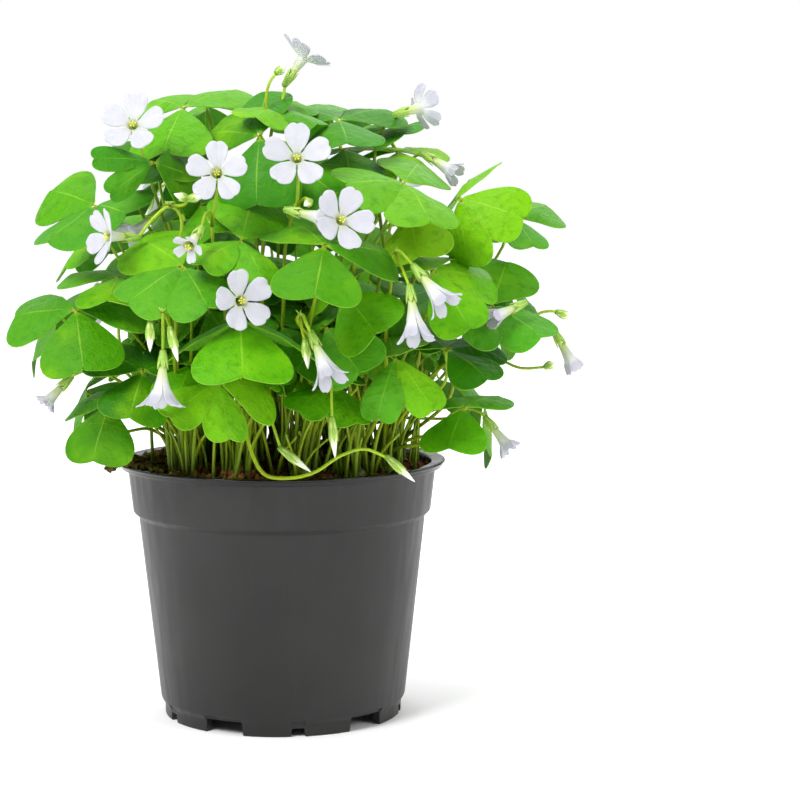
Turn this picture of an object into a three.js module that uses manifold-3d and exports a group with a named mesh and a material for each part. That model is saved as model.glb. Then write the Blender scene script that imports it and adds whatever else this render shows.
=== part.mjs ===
// Potted oxalis: a white-flowered wood sorrel in a stepped nursery pot.
// Millimetres, +Z up. It is built round the middle of the pot and then moved so that the origin
// is under the middle of the whole plant. The front of the plant looks along -Y.

import * as THREE from 'three';
import { mergeVertices } from 'three/addons/utils/BufferGeometryUtils.js';
import Module from 'manifold-3d';

const wasm = await Module();
wasm.setup();

// Pot: a 13 cm nursery pot, its wall straight below a deep stepped band and a rolled lip.
const POT = {
  lipRadius: 65,
  lipHeight: 3,
  height: 102,
  bandTopRadius: 61.2,
  bandFootRadius: 59.2,
  bandFoot: 81.8,
  wallTopRadius: 57,
  ledge: 79.7,
  wallFootRadius: 48.9,
  footHeight: 6.9,
  footRadius: 47.3,
  footWidth: 3.2,
  wall: 1.9,
  facets: 30,
};
const FEET = { count: 5, first: -80.2, gap: 19.4, slotWidth: 5.2, slotHeight: 3.2 };

// Soil: fills the pot and is mounded in the middle.
const SOIL = { edge: 98.3, mound: 6, clearance: 0.35, facets: 30, lumps: 0.9 };

// Crowns: where the leaf stalks and flower stalks of a bunch rise out of the soil together.
const CROWN = { radius: 4.6, top: 2.2, buried: 16, clearance: 0.4, spread: 2.9, depth: 3, sprout: 7 };

// Stalks, three-sided: radius in mm, and steps of the line for each point that it is drawn through.
const PETIOLE = { radius: 0.75, steps: 1, neck: 14 };
const SCAPE = { radius: 0.85, steps: 1.15 };
const PEDICEL = { radius: 0.7, steps: 1.5 };

// Leaves: thickness of the blade, how far a leaflet's halves fold down from its midrib
// (degrees), and how far the midrib arches (share of its length).
const BLADE = 0.8;
const FOLD = 14;
const ARCH = 0.05;
const HALF_WIDTH = 0.56;

// Half outline of a leaflet: share of its length, and of its half width, from the base out.
const LEAFLET_SIDE = [[0.36, 0.55], [0.8, 1], [1.08, 0.52]];
const LEAFLET_NOTCH = 0.98;
const LEAF_HUB = { reach: 1.3, spread: 0.55, drop: 2.4 };

// Flowers: a green calyx, then a funnel and five petals.
const CALYX = { length: 5.6, foot: 0.9, mouth: 1.9 };
const COROLLA = { gap: 0.35, tube: 6.8, foot: 1.25, throat: 2.7, wall: 0.6, petal: 3.5 };

// Colours.
const COLOUR = {
  pot: 0x3f3f3d,
  soil: 0x2c2119,
  bunch: 0x5aa02a,
  corolla: 0xf2f1f6,
};

// View: the eye that the drawn places below were seen from, 800 units wide and high.
const EYE = { x: 47, y: -895, z: 216, pitch: 5.8, focal: 2260, middle: 400 };

const radians = THREE.MathUtils.degToRad;
const vec = (x, y, z) => new THREE.Vector3(x, y, z);

// Point at depth y (mm) that the eye sees at column px and row py.
function seen(px, py, y) {
  const ray = sight(px, py);
  return vec(EYE.x, EYE.y, EYE.z).addScaledVector(ray, (y - EYE.y) / ray.y);
}

function sight(px, py) {
  const right = (px - EYE.middle) / EYE.focal;
  const up = (EYE.middle - py) / EYE.focal;
  const c = Math.cos(radians(EYE.pitch));
  const s = Math.sin(radians(EYE.pitch));
  return vec(right, c + up * s, up * c - s);
}

// Point at a given distance from a centre that the eye sees at (px, py).
// side -1 is the nearer of the two, +1 the farther.
function seenAtReach(px, py, centre, reach, side) {
  const eye = vec(EYE.x, EYE.y, EYE.z);
  const ray = sight(px, py).normalize();
  const along = centre.clone().sub(eye).dot(ray);
  const closest = eye.clone().addScaledVector(ray, along);
  const off = closest.distanceTo(centre);
  const half = Math.sqrt(Math.max(0, reach * reach - off * off));
  const point = closest.addScaledVector(ray, side * half);
  return centre.clone().add(point.sub(centre).setLength(reach));
}

// Heart: the point inside the foliage that every leaf looks away from.
const HEART = vec(0, 0, 110);

// Seeded draw: the same list of numbers between 0 and 1 on every run.
function draws(seed) {
  let state = seed;
  return () => {
    state = (state * 16807) % 2147483647;
    return state / 2147483647;
  };
}

// Solids

function toSolid(geometry) {
  const bare = geometry.clone();
  bare.deleteAttribute('normal');
  bare.deleteAttribute('uv');
  const merged = mergeVertices(bare, 1e-4);
  return new wasm.Manifold(new wasm.Mesh({
    numProp: 3,
    vertProperties: Float32Array.from(merged.attributes.position.array),
    triVerts: Uint32Array.from(merged.index.array),
  }));
}

function join(solids) {
  return solids.reduce((all, next) => all.add(next));
}

function toMesh(name, solid, colour, roughness) {
  const mesh = solid.getMesh();
  const geometry = new THREE.BufferGeometry();
  geometry.setAttribute('position', new THREE.BufferAttribute(mesh.vertProperties, 3));
  geometry.setIndex(new THREE.BufferAttribute(mesh.triVerts, 1));
  const material = new THREE.MeshStandardMaterial({ color: colour, roughness, metalness: 0 });
  const out = new THREE.Mesh(geometry, material);
  out.name = name;
  return out;
}

// Closed solid from points and faces; turned inside out if its volume is negative.
function fromFaces(points, faces) {
  let volume = 0;
  for (const [a, b, c] of faces) {
    volume += points[a].dot(points[b].clone().cross(points[c]));
  }
  const index = volume > 0 ? faces.flat() : faces.map(([a, b, c]) => [a, c, b]).flat();
  const geometry = new THREE.BufferGeometry();
  const position = points.flatMap((p) => [p.x, p.y, p.z]);
  geometry.setAttribute('position', new THREE.Float32BufferAttribute(position, 3));
  geometry.setIndex(index);
  return toSolid(geometry);
}

// Three-sided stalk of even thickness along a smooth line through the points, with the points
// that its middle line really passes.
function stalk(points, kind) {
  const curve = new THREE.CatmullRomCurve3(points, false, 'centripetal');
  const corners = [0, 120, 240].map((turn) => new THREE.Vector2(
    kind.radius * Math.cos(radians(turn)),
    kind.radius * Math.sin(radians(turn)),
  ));
  const steps = Math.max(2, Math.round((points.length - 1) * kind.steps));
  const section = new THREE.Shape(corners);
  const solid = toSolid(new THREE.ExtrudeGeometry(section, { steps, extrudePath: curve }));
  return { solid, line: curve.getSpacedPoints(steps) };
}

// Turned solid from a profile of [radius, height], its axis from a foot along a direction.
function turned(profile, facets, foot, direction) {
  const line = profile.map(([r, h]) => new THREE.Vector2(r, h));
  const geometry = new THREE.LatheGeometry(line, facets);
  const turn = new THREE.Quaternion().setFromUnitVectors(vec(0, 1, 0), direction.clone().normalize());
  geometry.applyQuaternion(turn);
  geometry.translate(foot.x, foot.y, foot.z);
  const bare = toFacing(geometry);
  return toSolid(bare);
}

// LatheGeometry faces point out only when its profile runs one way round; this settles it.
function toFacing(geometry) {
  const p = geometry.attributes.position;
  const index = geometry.index.array;
  let volume = 0;
  for (let i = 0; i < index.length; i += 3) {
    const [a, b, c] = [0, 1, 2].map((k) => vec().fromBufferAttribute(p, index[i + k]));
    volume += a.dot(b.clone().cross(c));
  }
  if (volume < 0) {
    for (let i = 0; i < index.length; i += 3) {
      const keep = index[i + 1];
      index[i + 1] = index[i + 2];
      index[i + 2] = keep;
    }
  }
  return geometry;
}

// Upright prism with flat ends, used to cut holes and gaps.
function prism(outline, bottom, top) {
  const shape = new THREE.Shape(outline.map(([x, y]) => new THREE.Vector2(x, y)));
  const geometry = new THREE.ExtrudeGeometry(shape, { depth: top - bottom, bevelEnabled: false });
  geometry.translate(0, 0, bottom);
  return toSolid(geometry);
}

function ring(x, y, radius, sides) {
  return Array.from({ length: sides }, (_, i) => {
    const a = ((i + 0.5) / sides) * Math.PI * 2;
    return [x + radius * Math.cos(a), y + radius * Math.sin(a)];
  });
}

// Pot

function makePot() {
  const p = POT;
  const innerFoot = p.wallFootRadius - p.wall;
  const innerTop = p.wallTopRadius - p.wall;
  const profile = [
    [0, p.footHeight],
    [p.footRadius - p.footWidth, p.footHeight],
    [p.footRadius - p.footWidth, 0],
    [p.footRadius, 0],
    [p.footRadius, p.footHeight - 2.4],
    [p.wallFootRadius, p.footHeight],
    [p.wallTopRadius, p.ledge],
    [p.bandFootRadius, p.bandFoot],
    [p.bandTopRadius, p.height - p.lipHeight],
    [p.lipRadius, p.height - p.lipHeight + 0.4],
    [p.lipRadius, p.height - 0.8],
    [p.lipRadius - 0.9, p.height],
    [p.bandTopRadius - p.wall, p.height],
    [p.bandFootRadius - p.wall, p.bandFoot + 1],
    [innerTop, p.ledge],
    [innerFoot, p.footHeight + p.wall],
    [0, p.footHeight + p.wall],
  ];
  const line = profile.map(([r, h]) => new THREE.Vector2(r, h));
  const body = new THREE.LatheGeometry(line, p.facets);
  body.rotateX(Math.PI / 2);
  let solid = toSolid(toFacing(body));
  const pitch = 360 / FEET.count;
  const outside = p.footRadius + 3;
  const inside = p.footRadius - p.footWidth - 2;
  for (let i = 0; i < FEET.count; i += 1) {
    const middle = radians(FEET.first + i * pitch);
    const edge = middle + radians(pitch / 2);
    const half = radians(FEET.gap / 2);
    const wedge = [
      [edge - half, inside],
      [edge - half, outside],
      [edge + half, outside],
      [edge + half, inside],
    ].map(([a, r]) => [r * Math.cos(a), r * Math.sin(a)]);
    solid = solid.subtract(prism(wedge, -1, p.footHeight - 1.6));
    const slotHalf = FEET.slotWidth / 2 / p.footRadius;
    const slot = [
      [middle - slotHalf, inside],
      [middle - slotHalf, outside],
      [middle + slotHalf, outside],
      [middle + slotHalf, inside],
    ].map(([a, r]) => [r * Math.cos(a), r * Math.sin(a)]);
    solid = solid.subtract(prism(slot, -1, FEET.slotHeight));
    const drain = ring(38 * Math.cos(edge), 38 * Math.sin(edge), 4, 6);
    solid = solid.subtract(prism(drain, p.footHeight - 1, p.footHeight + p.wall + 1));
  }
  return solid;
}

// Soil

function soilTop(x, y) {
  const r = Math.hypot(x, y);
  const rim = POT.bandTopRadius - POT.wall;
  const crown = 1 - (r / rim) ** 2;
  const lumps = Math.sin(x * 0.23 + 1) * Math.cos(y * 0.19 - 0.5) + 0.6 * Math.sin(x * 0.11 - y * 0.31);
  return SOIL.edge + SOIL.mound * crown + SOIL.lumps * lumps * Math.min(1, crown * 4);
}

function makeSoil(crowns) {
  const p = POT;
  const c = SOIL.clearance;
  const bottom = p.footHeight + p.wall + c;
  const rings = [0, 18, 36, 50];
  const rimRadius = p.bandTopRadius - p.wall - c - 0.4;
  const side = [
    [p.bandFootRadius - p.wall - c, p.bandFoot + 1],
    [p.wallTopRadius - p.wall - c, p.ledge - 0.3],
    [p.wallFootRadius - p.wall - c, bottom],
    [0, bottom],
  ];
  const line = [
    ...rings.map((r) => new THREE.Vector2(r, 200)),
    new THREE.Vector2(rimRadius, 200),
    ...side.map(([r, h]) => new THREE.Vector2(r, h)),
  ];
  const geometry = new THREE.LatheGeometry(line, SOIL.facets);
  geometry.rotateX(Math.PI / 2);
  const position = geometry.attributes.position;
  for (let i = 0; i < position.count; i += 1) {
    if (position.getZ(i) > p.height) {
      position.setZ(i, soilTop(position.getX(i), position.getY(i)));
    }
  }
  let solid = toSolid(toFacing(geometry));
  for (const [x, y] of crowns) {
    const hole = ring(x, y, CROWN.radius + CROWN.clearance, 6);
    solid = solid.subtract(prism(hole, soilTop(x, y) - CROWN.buried - CROWN.clearance, 120));
  }
  return solid;
}

// Leaves

// Direction that a leaf's upper face looks: square to its three tips, away from the heart.
function facing(leaf) {
  const [a, b, c] = leaf.tips;
  const across = b.clone().sub(a).cross(c.clone().sub(a)).normalize();
  const outward = leaf.hub.clone().sub(HEART);
  if (across.dot(outward) < 0) across.negate();
  return across;
}

// One leaf blade in a single closed skin: three heart-shaped leaflets on a small hub.
// A leaflet's halves fold down from its midrib, and both faces have the same triangles.
function leafBlade(leaf, up) {
  const points = [];
  const faces = [];
  const add = (place, normal) => {
    points.push(place.clone().addScaledVector(normal, BLADE / 2));
    points.push(place.clone().addScaledVector(normal, -BLADE / 2));
    return points.length - 2;
  };
  const skin = (a, b, c) => faces.push([a, b, c], [a + 1, c + 1, b + 1]);
  const edge = (a, b) => faces.push([b, a, a + 1], [b, a + 1, b + 1]);
  const bearing = (tip) => {
    const flat = tip.clone().sub(leaf.hub);
    return Math.atan2(flat.dot(axisB), flat.dot(axisA));
  };
  const axisA = leaf.tips[0].clone().sub(leaf.hub);
  axisA.addScaledVector(up, -up.dot(axisA)).normalize();
  const axisB = up.clone().cross(axisA);
  const tips = [...leaf.tips].sort((p, q) => bearing(p) - bearing(q));
  const loops = tips.map((tip) => {
    const along = tip.clone().sub(leaf.hub);
    const length = along.length();
    along.normalize();
    const normal = up.clone().addScaledVector(along, -up.dot(along)).normalize();
    const across = normal.clone().cross(along);
    const half = HALF_WIDTH * length;
    const sideways = Math.cos(radians(FOLD));
    const down = Math.sin(radians(FOLD));
    const at = (t, s) => add(leaf.hub.clone()
      .addScaledVector(along, t * length)
      .addScaledVector(across, s * half * sideways)
      .addScaledVector(normal, ARCH * length * 4 * t * (1 - t) - Math.abs(s) * half * down), normal);
    const near = LEAF_HUB.reach / length;
    const foot = LEAF_HUB.spread / half;
    const right = LEAFLET_SIDE.map(([t, s]) => at(t, -s));
    const left = LEAFLET_SIDE.map(([t, s]) => at(t, s)).reverse();
    const loop = [at(near, -foot), ...right, at(LEAFLET_NOTCH, 0), ...left, at(near, foot)];
    const notch = loop[(loop.length - 1) / 2];
    for (let i = 0; i < loop.length; i += 1) {
      const next = (i + 1) % loop.length;
      if (loop[i] !== notch && loop[next] !== notch) skin(notch, loop[i], loop[next]);
      if (next > 0) edge(loop[i], loop[next]);
    }
    return loop;
  });
  const hub = add(leaf.hub, up);
  points[hub + 1] = leaf.hub.clone().addScaledVector(up, -LEAF_HUB.drop);
  loops.forEach((loop, i) => {
    const next = loops[(i + 1) % loops.length];
    const last = loop[loop.length - 1];
    skin(hub, loop[0], last);
    skin(hub, last, next[0]);
    edge(last, next[0]);
  });
  return fromFaces(points, faces);
}

// The first two points of each stalk of a bunch: evenly round inside the crown in the order of
// the bearings that the stalks lean to, then straight up.
function sproutsOf(foot, targets) {
  const bearing = targets.map((t) => Math.atan2(t.y - foot[1], t.x - foot[0]));
  const mean = Math.atan2(
    bearing.reduce((sum, a) => sum + Math.sin(a), 0),
    bearing.reduce((sum, a) => sum + Math.cos(a), 0),
  );
  const turn = bearing.map((a) => Math.atan2(Math.sin(a - mean), Math.cos(a - mean)));
  const order = turn.map((_t, i) => i).sort((i, k) => turn[i] - turn[k]);
  const top = soilTop(...foot);
  const sprouts = [];
  order.forEach((item, place) => {
    const a = mean + ((place - (order.length - 1) / 2) / order.length) * Math.PI * 2;
    const x = foot[0] + CROWN.spread * Math.cos(a);
    const y = foot[1] + CROWN.spread * Math.sin(a);
    sprouts[item] = [vec(x, y, top - CROWN.depth), vec(x, y, top + CROWN.sprout)];
  });
  return sprouts;
}

function makeLeaf(leaf, [root, sprout]) {
  const up = facing(leaf);
  const neck = leaf.hub.clone().addScaledVector(up, -PETIOLE.neck);
  const rise = sprout.clone().lerp(neck, 0.4);
  rise.z = sprout.z + (neck.z - sprout.z) * 0.52 + 3;
  const end = leaf.hub.clone().addScaledVector(up, -0.9);
  return join([leafBlade(leaf, up), stalk([root, sprout, rise, neck, end], PETIOLE).solid]);
}

// Leaves seen from the front. hub and tips are columns and rows of the view; deep is the hub's
// depth in mm; tips carry -1 where they come nearer than the hub and +1 where they go back.
const FRONT_BUNCHES = {
  left: {
    foot: [-40, -18],
    leaves: [
      { hub: [96, 206], deep: -42, size: 24, tips: [[52, 190, 1], [50, 241, -1], [124, 212, -1]] },
      { hub: [76, 310], deep: -62, size: 25, tips: [[17, 316, 1], [83, 366, -1], [138, 303, 1]] },
      { hub: [110, 403], deep: -46, size: 23, tips: [[78, 401, 1], [93, 458, -1], [140, 385, 1]] },
      { hub: [118, 277], deep: -48, size: 21, tips: [[74, 272, 1], [108, 300, -1], [146, 264, 1]] },
    ],
  },
  left_front: {
    foot: [-34, -38],
    leaves: [
      { hub: [184, 267], deep: -84, size: 24, tips: [[143, 240, 1], [130, 300, -1], [207, 305, -1]] },
      { hub: [143, 372], deep: -60, size: 21, tips: [[103, 352, 1], [130, 415, -1], [183, 360, 1]] },
      { hub: [190, 365], deep: -54, size: 19, tips: [[162, 352, 1], [180, 393, -1], [218, 352, 1]] },
    ],
  },
  upper_left: {
    foot: [-27, -10],
    leaves: [
      { hub: [183, 108], deep: -28, size: 27, tips: [[152, 101, 1], [164, 150, -1], [236, 90, 1]] },
      { hub: [153, 162], deep: -60, size: 24, tips: [[97, 158, -1], [112, 192, -1], [200, 182, 1]] },
      { hub: [158, 150], deep: -36, size: 22, tips: [[122, 143, 1], [165, 175, -1], [200, 142, 1]] },
      { hub: [200, 206], deep: -46, size: 22, tips: [[160, 212, 1], [215, 232, -1], [220, 186, 1]] },
    ],
  },
  front: {
    foot: [-14, -46],
    leaves: [
      { hub: [240, 320], deep: -86, size: 29, tips: [[183, 346, 1], [243, 374, -1], [298, 343, 1]] },
      { hub: [217, 382], deep: -80, size: 23, tips: [[172, 416, -1], [229, 437, -1], [270, 393, 1]] },
    ],
  },
  upper_front: {
    foot: [-10, -26],
    leaves: [
      { hub: [260, 136], deep: -55, size: 26, tips: [[210, 132, 1], [256, 201, -1], [266, 94, 1]] },
      { hub: [241, 241], deep: -76, size: 25, tips: [[203, 262, -1], [262, 277, -1], [252, 200, 1]] },
      { hub: [276, 108], deep: -40, size: 18, tips: [[296, 102, 1], [316, 122, -1], [256, 116, -1]] },
      { hub: [228, 232], deep: -44, size: 22, tips: [[196, 246, -1], [245, 255, -1], [215, 215, 1]] },
    ],
  },
  front_right: {
    foot: [10, -44],
    leaves: [
      { hub: [324, 246], deep: -88, size: 26, tips: [[297, 224, 1], [315, 295, -1], [386, 253, 1]] },
      { hub: [343, 291], deep: -72, size: 23, tips: [[312, 304, 1], [375, 332, -1], [350, 270, 1]] },
      { hub: [325, 327], deep: -68, size: 22, tips: [[292, 342, 1], [358, 370, -1], [330, 310, 1]] },
      { hub: [332, 384], deep: -60, size: 20, tips: [[300, 408, -1], [356, 420, -1], [336, 366, 1]] },
      { hub: [294, 372], deep: -46, size: 16, tips: [[284, 392, -1], [306, 391, -1], [294, 356, 1]] },
    ],
  },
  upper_right: {
    foot: [12, -20],
    leaves: [
      { hub: [339, 121], deep: -34, size: 24, tips: [[300, 108, 1], [386, 108, 1], [347, 140, -1]] },
      { hub: [345, 150], deep: -32, size: 22, tips: [[312, 155, 1], [372, 148, 1], [350, 172, -1]] },
      { hub: [298, 166], deep: -44, size: 22, tips: [[332, 192, -1], [284, 157, 1], [318, 142, 1]] },
      { hub: [398, 152], deep: -22, size: 18, tips: [[376, 148, 1], [400, 172, -1], [437, 149, 1]] },
      { hub: [384, 130], deep: -12, size: 18, tips: [[402, 132, -1], [362, 128, 1], [390, 114, 1]] },
    ],
  },
  right_front: {
    foot: [30, -38],
    leaves: [
      { hub: [404, 183], deep: -64, size: 24, tips: [[348, 184, -1], [430, 219, -1], [420, 162, 1]] },
      { hub: [395, 358], deep: -72, size: 24, tips: [[378, 416, -1], [432, 407, -1], [388, 335, 1]] },
    ],
  },
  right: {
    foot: [42, -22],
    leaves: [
      { hub: [459, 198], deep: -52, size: 25, tips: [[470, 181, 1], [520, 216, -1], [470, 264, -1]] },
      { hub: [432, 271], deep: -68, size: 25, tips: [[490, 280, 1], [468, 326, -1], [412, 256, 1]] },
      { hub: [447, 350], deep: -58, size: 21, tips: [[486, 376, -1], [495, 346, 1], [420, 332, 1]] },
      { hub: [464, 408], deep: -54, size: 21, tips: [[449, 447, -1], [498, 396, 1], [440, 398, 1]] },
      { hub: [410, 212], deep: -50, size: 22, tips: [[385, 226, 1], [418, 255, -1], [436, 208, 1]] },
      { hub: [418, 330], deep: -28, size: 22, tips: [[392, 345, -1], [442, 345, -1], [415, 300, 1]] },
    ],
  },
  far_right: {
    foot: [46, 2],
    leaves: [
      { hub: [510, 216], deep: -14, size: 22, tips: [[546, 205, 1], [533, 244, -1], [480, 232, -1]] },
      { hub: [492, 306], deep: -44, size: 24, tips: [[506, 263, 1], [540, 334, -1], [462, 330, -1]] },
      { hub: [508, 292], deep: -16, size: 21, tips: [[534, 308, 1], [500, 330, -1], [490, 270, 1]] },
    ],
  },
};

// Leaves round the back: one crown for each sector, with rows of leaves at several heights.
// Sectors stand higher and lower in turn. droop is how far the tips hang back, as a share.
const BACK = {
  sectors: 5,
  first: 20,
  last: 171,
  crownRadius: 30,
  stagger: { height: 9, reach: 4 },
  droop: 0.36,
  rows: [
    { height: 134, reach: 80, lean: 25, size: 24, swing: -4 },
    { height: 172, reach: 88, lean: 42, size: 25, swing: 3 },
    { height: 206, reach: 70, lean: 58, size: 25, swing: 3 },
    { height: 158, reach: 54, lean: 55, size: 20, swing: 8 },
    { height: 232, reach: 46, lean: 72, size: 24, swing: 4, sectors: [2, 4] },
    { height: 234, reach: 6, lean: 86, size: 22, swing: 0, sectors: [3] },
  ],
};

function seenLeaf(entry) {
  const hub = seen(entry.hub[0], entry.hub[1], entry.deep);
  const tips = entry.tips.map(([x, y, side]) => seenAtReach(x, y, hub, entry.size, side));
  return { ...entry, hub, tips };
}

// Leaf placed round the plant: azimuth from +X towards +Y, its face leaning up by lean.
function placedLeaf(azimuth, row, spin) {
  const a = radians(azimuth);
  const out = vec(Math.cos(a), Math.sin(a), 0);
  const hub = out.clone().multiplyScalar(row.reach).setZ(row.height);
  const face = out.clone().multiplyScalar(Math.cos(radians(row.lean)));
  face.z = Math.sin(radians(row.lean));
  const side = vec(-out.y, out.x, 0);
  const rise = face.clone().cross(side).normalize();
  const flatShare = Math.sqrt(1 - BACK.droop ** 2);
  const tips = [0, 1, 2].map((i) => {
    const turn = radians(spin + i * 120);
    const flat = side.clone().multiplyScalar(Math.cos(turn)).addScaledVector(rise, Math.sin(turn));
    return hub.clone().addScaledVector(flat, row.size * flatShare).addScaledVector(face, -row.size * BACK.droop);
  });
  return { hub, tips, size: row.size };
}

function backBunches() {
  const draw = draws(41);
  const step = (BACK.last - BACK.first) / (BACK.sectors - 1);
  return Array.from({ length: BACK.sectors }, (_, i) => {
    const azimuth = BACK.first + i * step;
    const a = radians(azimuth);
    const side = i % 2 === 0 ? 1 : -1;
    const leaves = BACK.rows
      .filter((row) => row.sectors?.includes(i + 1) ?? true)
      .map((row) => {
        const height = row.height - side * BACK.stagger.height + 6 * (draw() - 0.5);
        const shifted = { ...row, height, reach: row.reach + side * BACK.stagger.reach };
        return placedLeaf(azimuth + row.swing + 5 * (draw() - 0.5), shifted, 90 + 50 * (draw() - 0.5));
      });
    return {
      name: `bunch_back_${i + 1}`,
      foot: [BACK.crownRadius * Math.cos(a), BACK.crownRadius * Math.sin(a)],
      leaves,
    };
  });
}

// Flowers. throat is where the funnel opens, face how far it looks right of the front and up,
// spin turns its first petal clockwise from the top, reach is a petal's tip from the axis, and
// cup how far the tips stand before the throat.
const FLOWERS = {
  1: { throat: [133, 125], deep: -64, face: [-5, 28], spin: 5, reach: 12.6, cup: 3 },
  2: { throat: [217, 173], deep: -84, face: [0, 12], spin: 0, reach: 11.8, cup: 2.5 },
  3: { throat: [297, 158], deep: -78, face: [0, 24], spin: 0, reach: 13.2, cup: 3 },
  4: { throat: [341, 220], deep: -98, face: [28, 16], spin: 28, reach: 12.2, cup: 4 },
  5: { throat: [241, 301], deep: -100, face: [26, 8], spin: -12, reach: 11.6, cup: 4 },
  6: { throat: [303, 58], deep: -38, face: [100, 55], spin: 10, reach: 11.5, cup: 4 },
  7: { throat: [420, 108], deep: -38, face: [128, 12], spin: 12, reach: 9.5, cup: 3.5 },
  8: { throat: [448, 169], deep: -34, face: [70, -30], spin: 0, reach: 5, cup: 5 },
  9: { throat: [108, 236], deep: -80, face: [-58, 4], spin: 30, reach: 11, cup: 4 },
  10: { throat: [189, 246], deep: -102, face: [-20, -30], spin: 30, reach: 6, cup: 2.5 },
  11: { throat: [317, 217], deep: -84, face: [72, -12], spin: 0, reach: 6.6, cup: 5 },
  12: { throat: [162, 386], deep: -100, face: [-8, -80], spin: 12, reach: 9.3, cup: 7.5 },
  13: { throat: [434, 291], deep: -90, face: [60, -46], spin: 0, reach: 7.6, cup: 8 },
  14: { throat: [414, 319], deep: -94, face: [20, -68], spin: 30, reach: 7.4, cup: 8.5 },
  15: { throat: [323, 362], deep: -96, face: [42, -56], spin: 20, reach: 7.6, cup: 8.5 },
  16: { throat: [49, 400], deep: -50, face: [-70, -45], spin: 0, reach: 5, cup: 3 },
  17: { throat: [505, 443], deep: -50, face: [70, -50], spin: 0, reach: 5, cup: 4 },
  18: { throat: [570, 359], deep: -42, face: [80, -60], spin: 0, reach: 4, cup: 5 },
  19: { throat: [499, 315], deep: -60, face: [-60, -20], spin: 0, reach: 4.2, cup: 4.5 },
  20: { throat: [137, 231], deep: -56, face: [-60, -38], spin: 0, reach: 7.5, cup: 4.5 },
};

function flowerPlace(f) {
  const [right, up] = f.face.map(radians);
  const axis = vec(Math.sin(right) * Math.cos(up), -Math.cos(right) * Math.cos(up), Math.sin(up));
  const throat = f.at ?? seen(f.throat[0], f.throat[1], f.deep);
  const mouth = throat.clone().addScaledVector(axis, -COROLLA.tube - COROLLA.gap);
  const foot = mouth.clone().addScaledVector(axis, -CALYX.length);
  return { ...f, axis, throat, mouth, foot };
}

const FLOWER_PLACES = Object.fromEntries(
  Object.entries(FLOWERS).map(([key, f]) => [key, flowerPlace(f)]),
);

function makeCalyx(f) {
  const profile = [[0, 0], [CALYX.foot, 0], [CALYX.mouth, CALYX.length], [0, CALYX.length]];
  return turned(profile, 4, f.foot, f.axis);
}

// Corolla: a funnel that opens into five petals, as one thin cup with both faces alike.
function makeCorolla(f) {
  const c = COROLLA;
  const rise = vec(0, 0, 1).addScaledVector(f.axis, -f.axis.z);
  if (rise.length() < 0.2) rise.set(0, 1, 0).addScaledVector(f.axis, -f.axis.y);
  rise.normalize();
  const side = f.axis.clone().cross(rise);
  const slope = Math.atan2(f.cup, f.reach - c.throat);
  const ray = (angle) => rise.clone().multiplyScalar(Math.cos(angle)).addScaledVector(side, -Math.sin(angle));
  const at = (out, radius, height) => f.throat.clone()
    .addScaledVector(out, radius)
    .addScaledVector(f.axis, height);
  const points = [];
  const add = (outer, inner) => {
    points.push(outer, inner);
    return points.length - 2;
  };
  const foot = [];
  const sinus = [];
  const petals = [];
  for (let i = 0; i < 5; i += 1) {
    const middle = radians(f.spin + i * 72);
    const gap = ray(middle - radians(36));
    foot.push(add(at(gap, c.foot, -c.tube), at(gap, c.foot * 0.45, -c.tube + 2.4)));
    sinus.push(add(at(gap, c.throat, 0), at(gap, c.throat - c.wall, 0.35)));
  }
  for (let i = 0; i < 5; i += 1) {
    const middle = radians(f.spin + i * 72);
    const out = ray(middle);
    const across = out.clone().cross(f.axis);
    const lift = out.clone().multiplyScalar(-Math.sin(slope) * c.wall)
      .addScaledVector(f.axis, Math.cos(slope) * c.wall);
    const place = (share, wide) => {
      const radius = c.throat + share * (f.reach - c.throat);
      const outer = at(out, radius, f.cup * share ** 1.2).addScaledVector(across, wide);
      return add(outer, outer.clone().add(lift));
    };
    const width = Math.min(c.petal, f.reach * 0.34);
    petals.push([place(0.62, -width), place(1, -width * 0.5), place(1, width * 0.5), place(0.62, width)]);
  }
  const faces = [];
  const skin = (a, b, d) => faces.push([a, b, d], [a + 1, d + 1, b + 1]);
  const edge = (a, b) => faces.push([b, a, a + 1], [b, a + 1, b + 1]);
  for (let i = 0; i < 5; i += 1) {
    const j = (i + 1) % 5;
    const [wideA, tipA, tipB, wideB] = petals[i];
    const loop = [sinus[i], wideA, tipA, tipB, wideB, sinus[j]];
    for (let k = 1; k < loop.length - 1; k += 1) skin(loop[0], loop[k], loop[k + 1]);
    for (let k = 0; k < loop.length - 1; k += 1) edge(loop[k], loop[k + 1]);
    skin(foot[i], sinus[i], sinus[j]);
    skin(foot[i], sinus[j], foot[j]);
  }
  for (let i = 1; i < 4; i += 1) skin(foot[0], foot[i], foot[i + 1]);
  return fromFaces(points, faces);
}

// Bud from its foot to its tip.
function makeBud(foot, tip) {
  const axis = tip.clone().sub(foot);
  const length = axis.length();
  const profile = [[0, 0], [1.6, length * 0.35], [1.3, length * 0.75], [0, length]];
  return turned(profile, 4, foot, axis);
}

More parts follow.
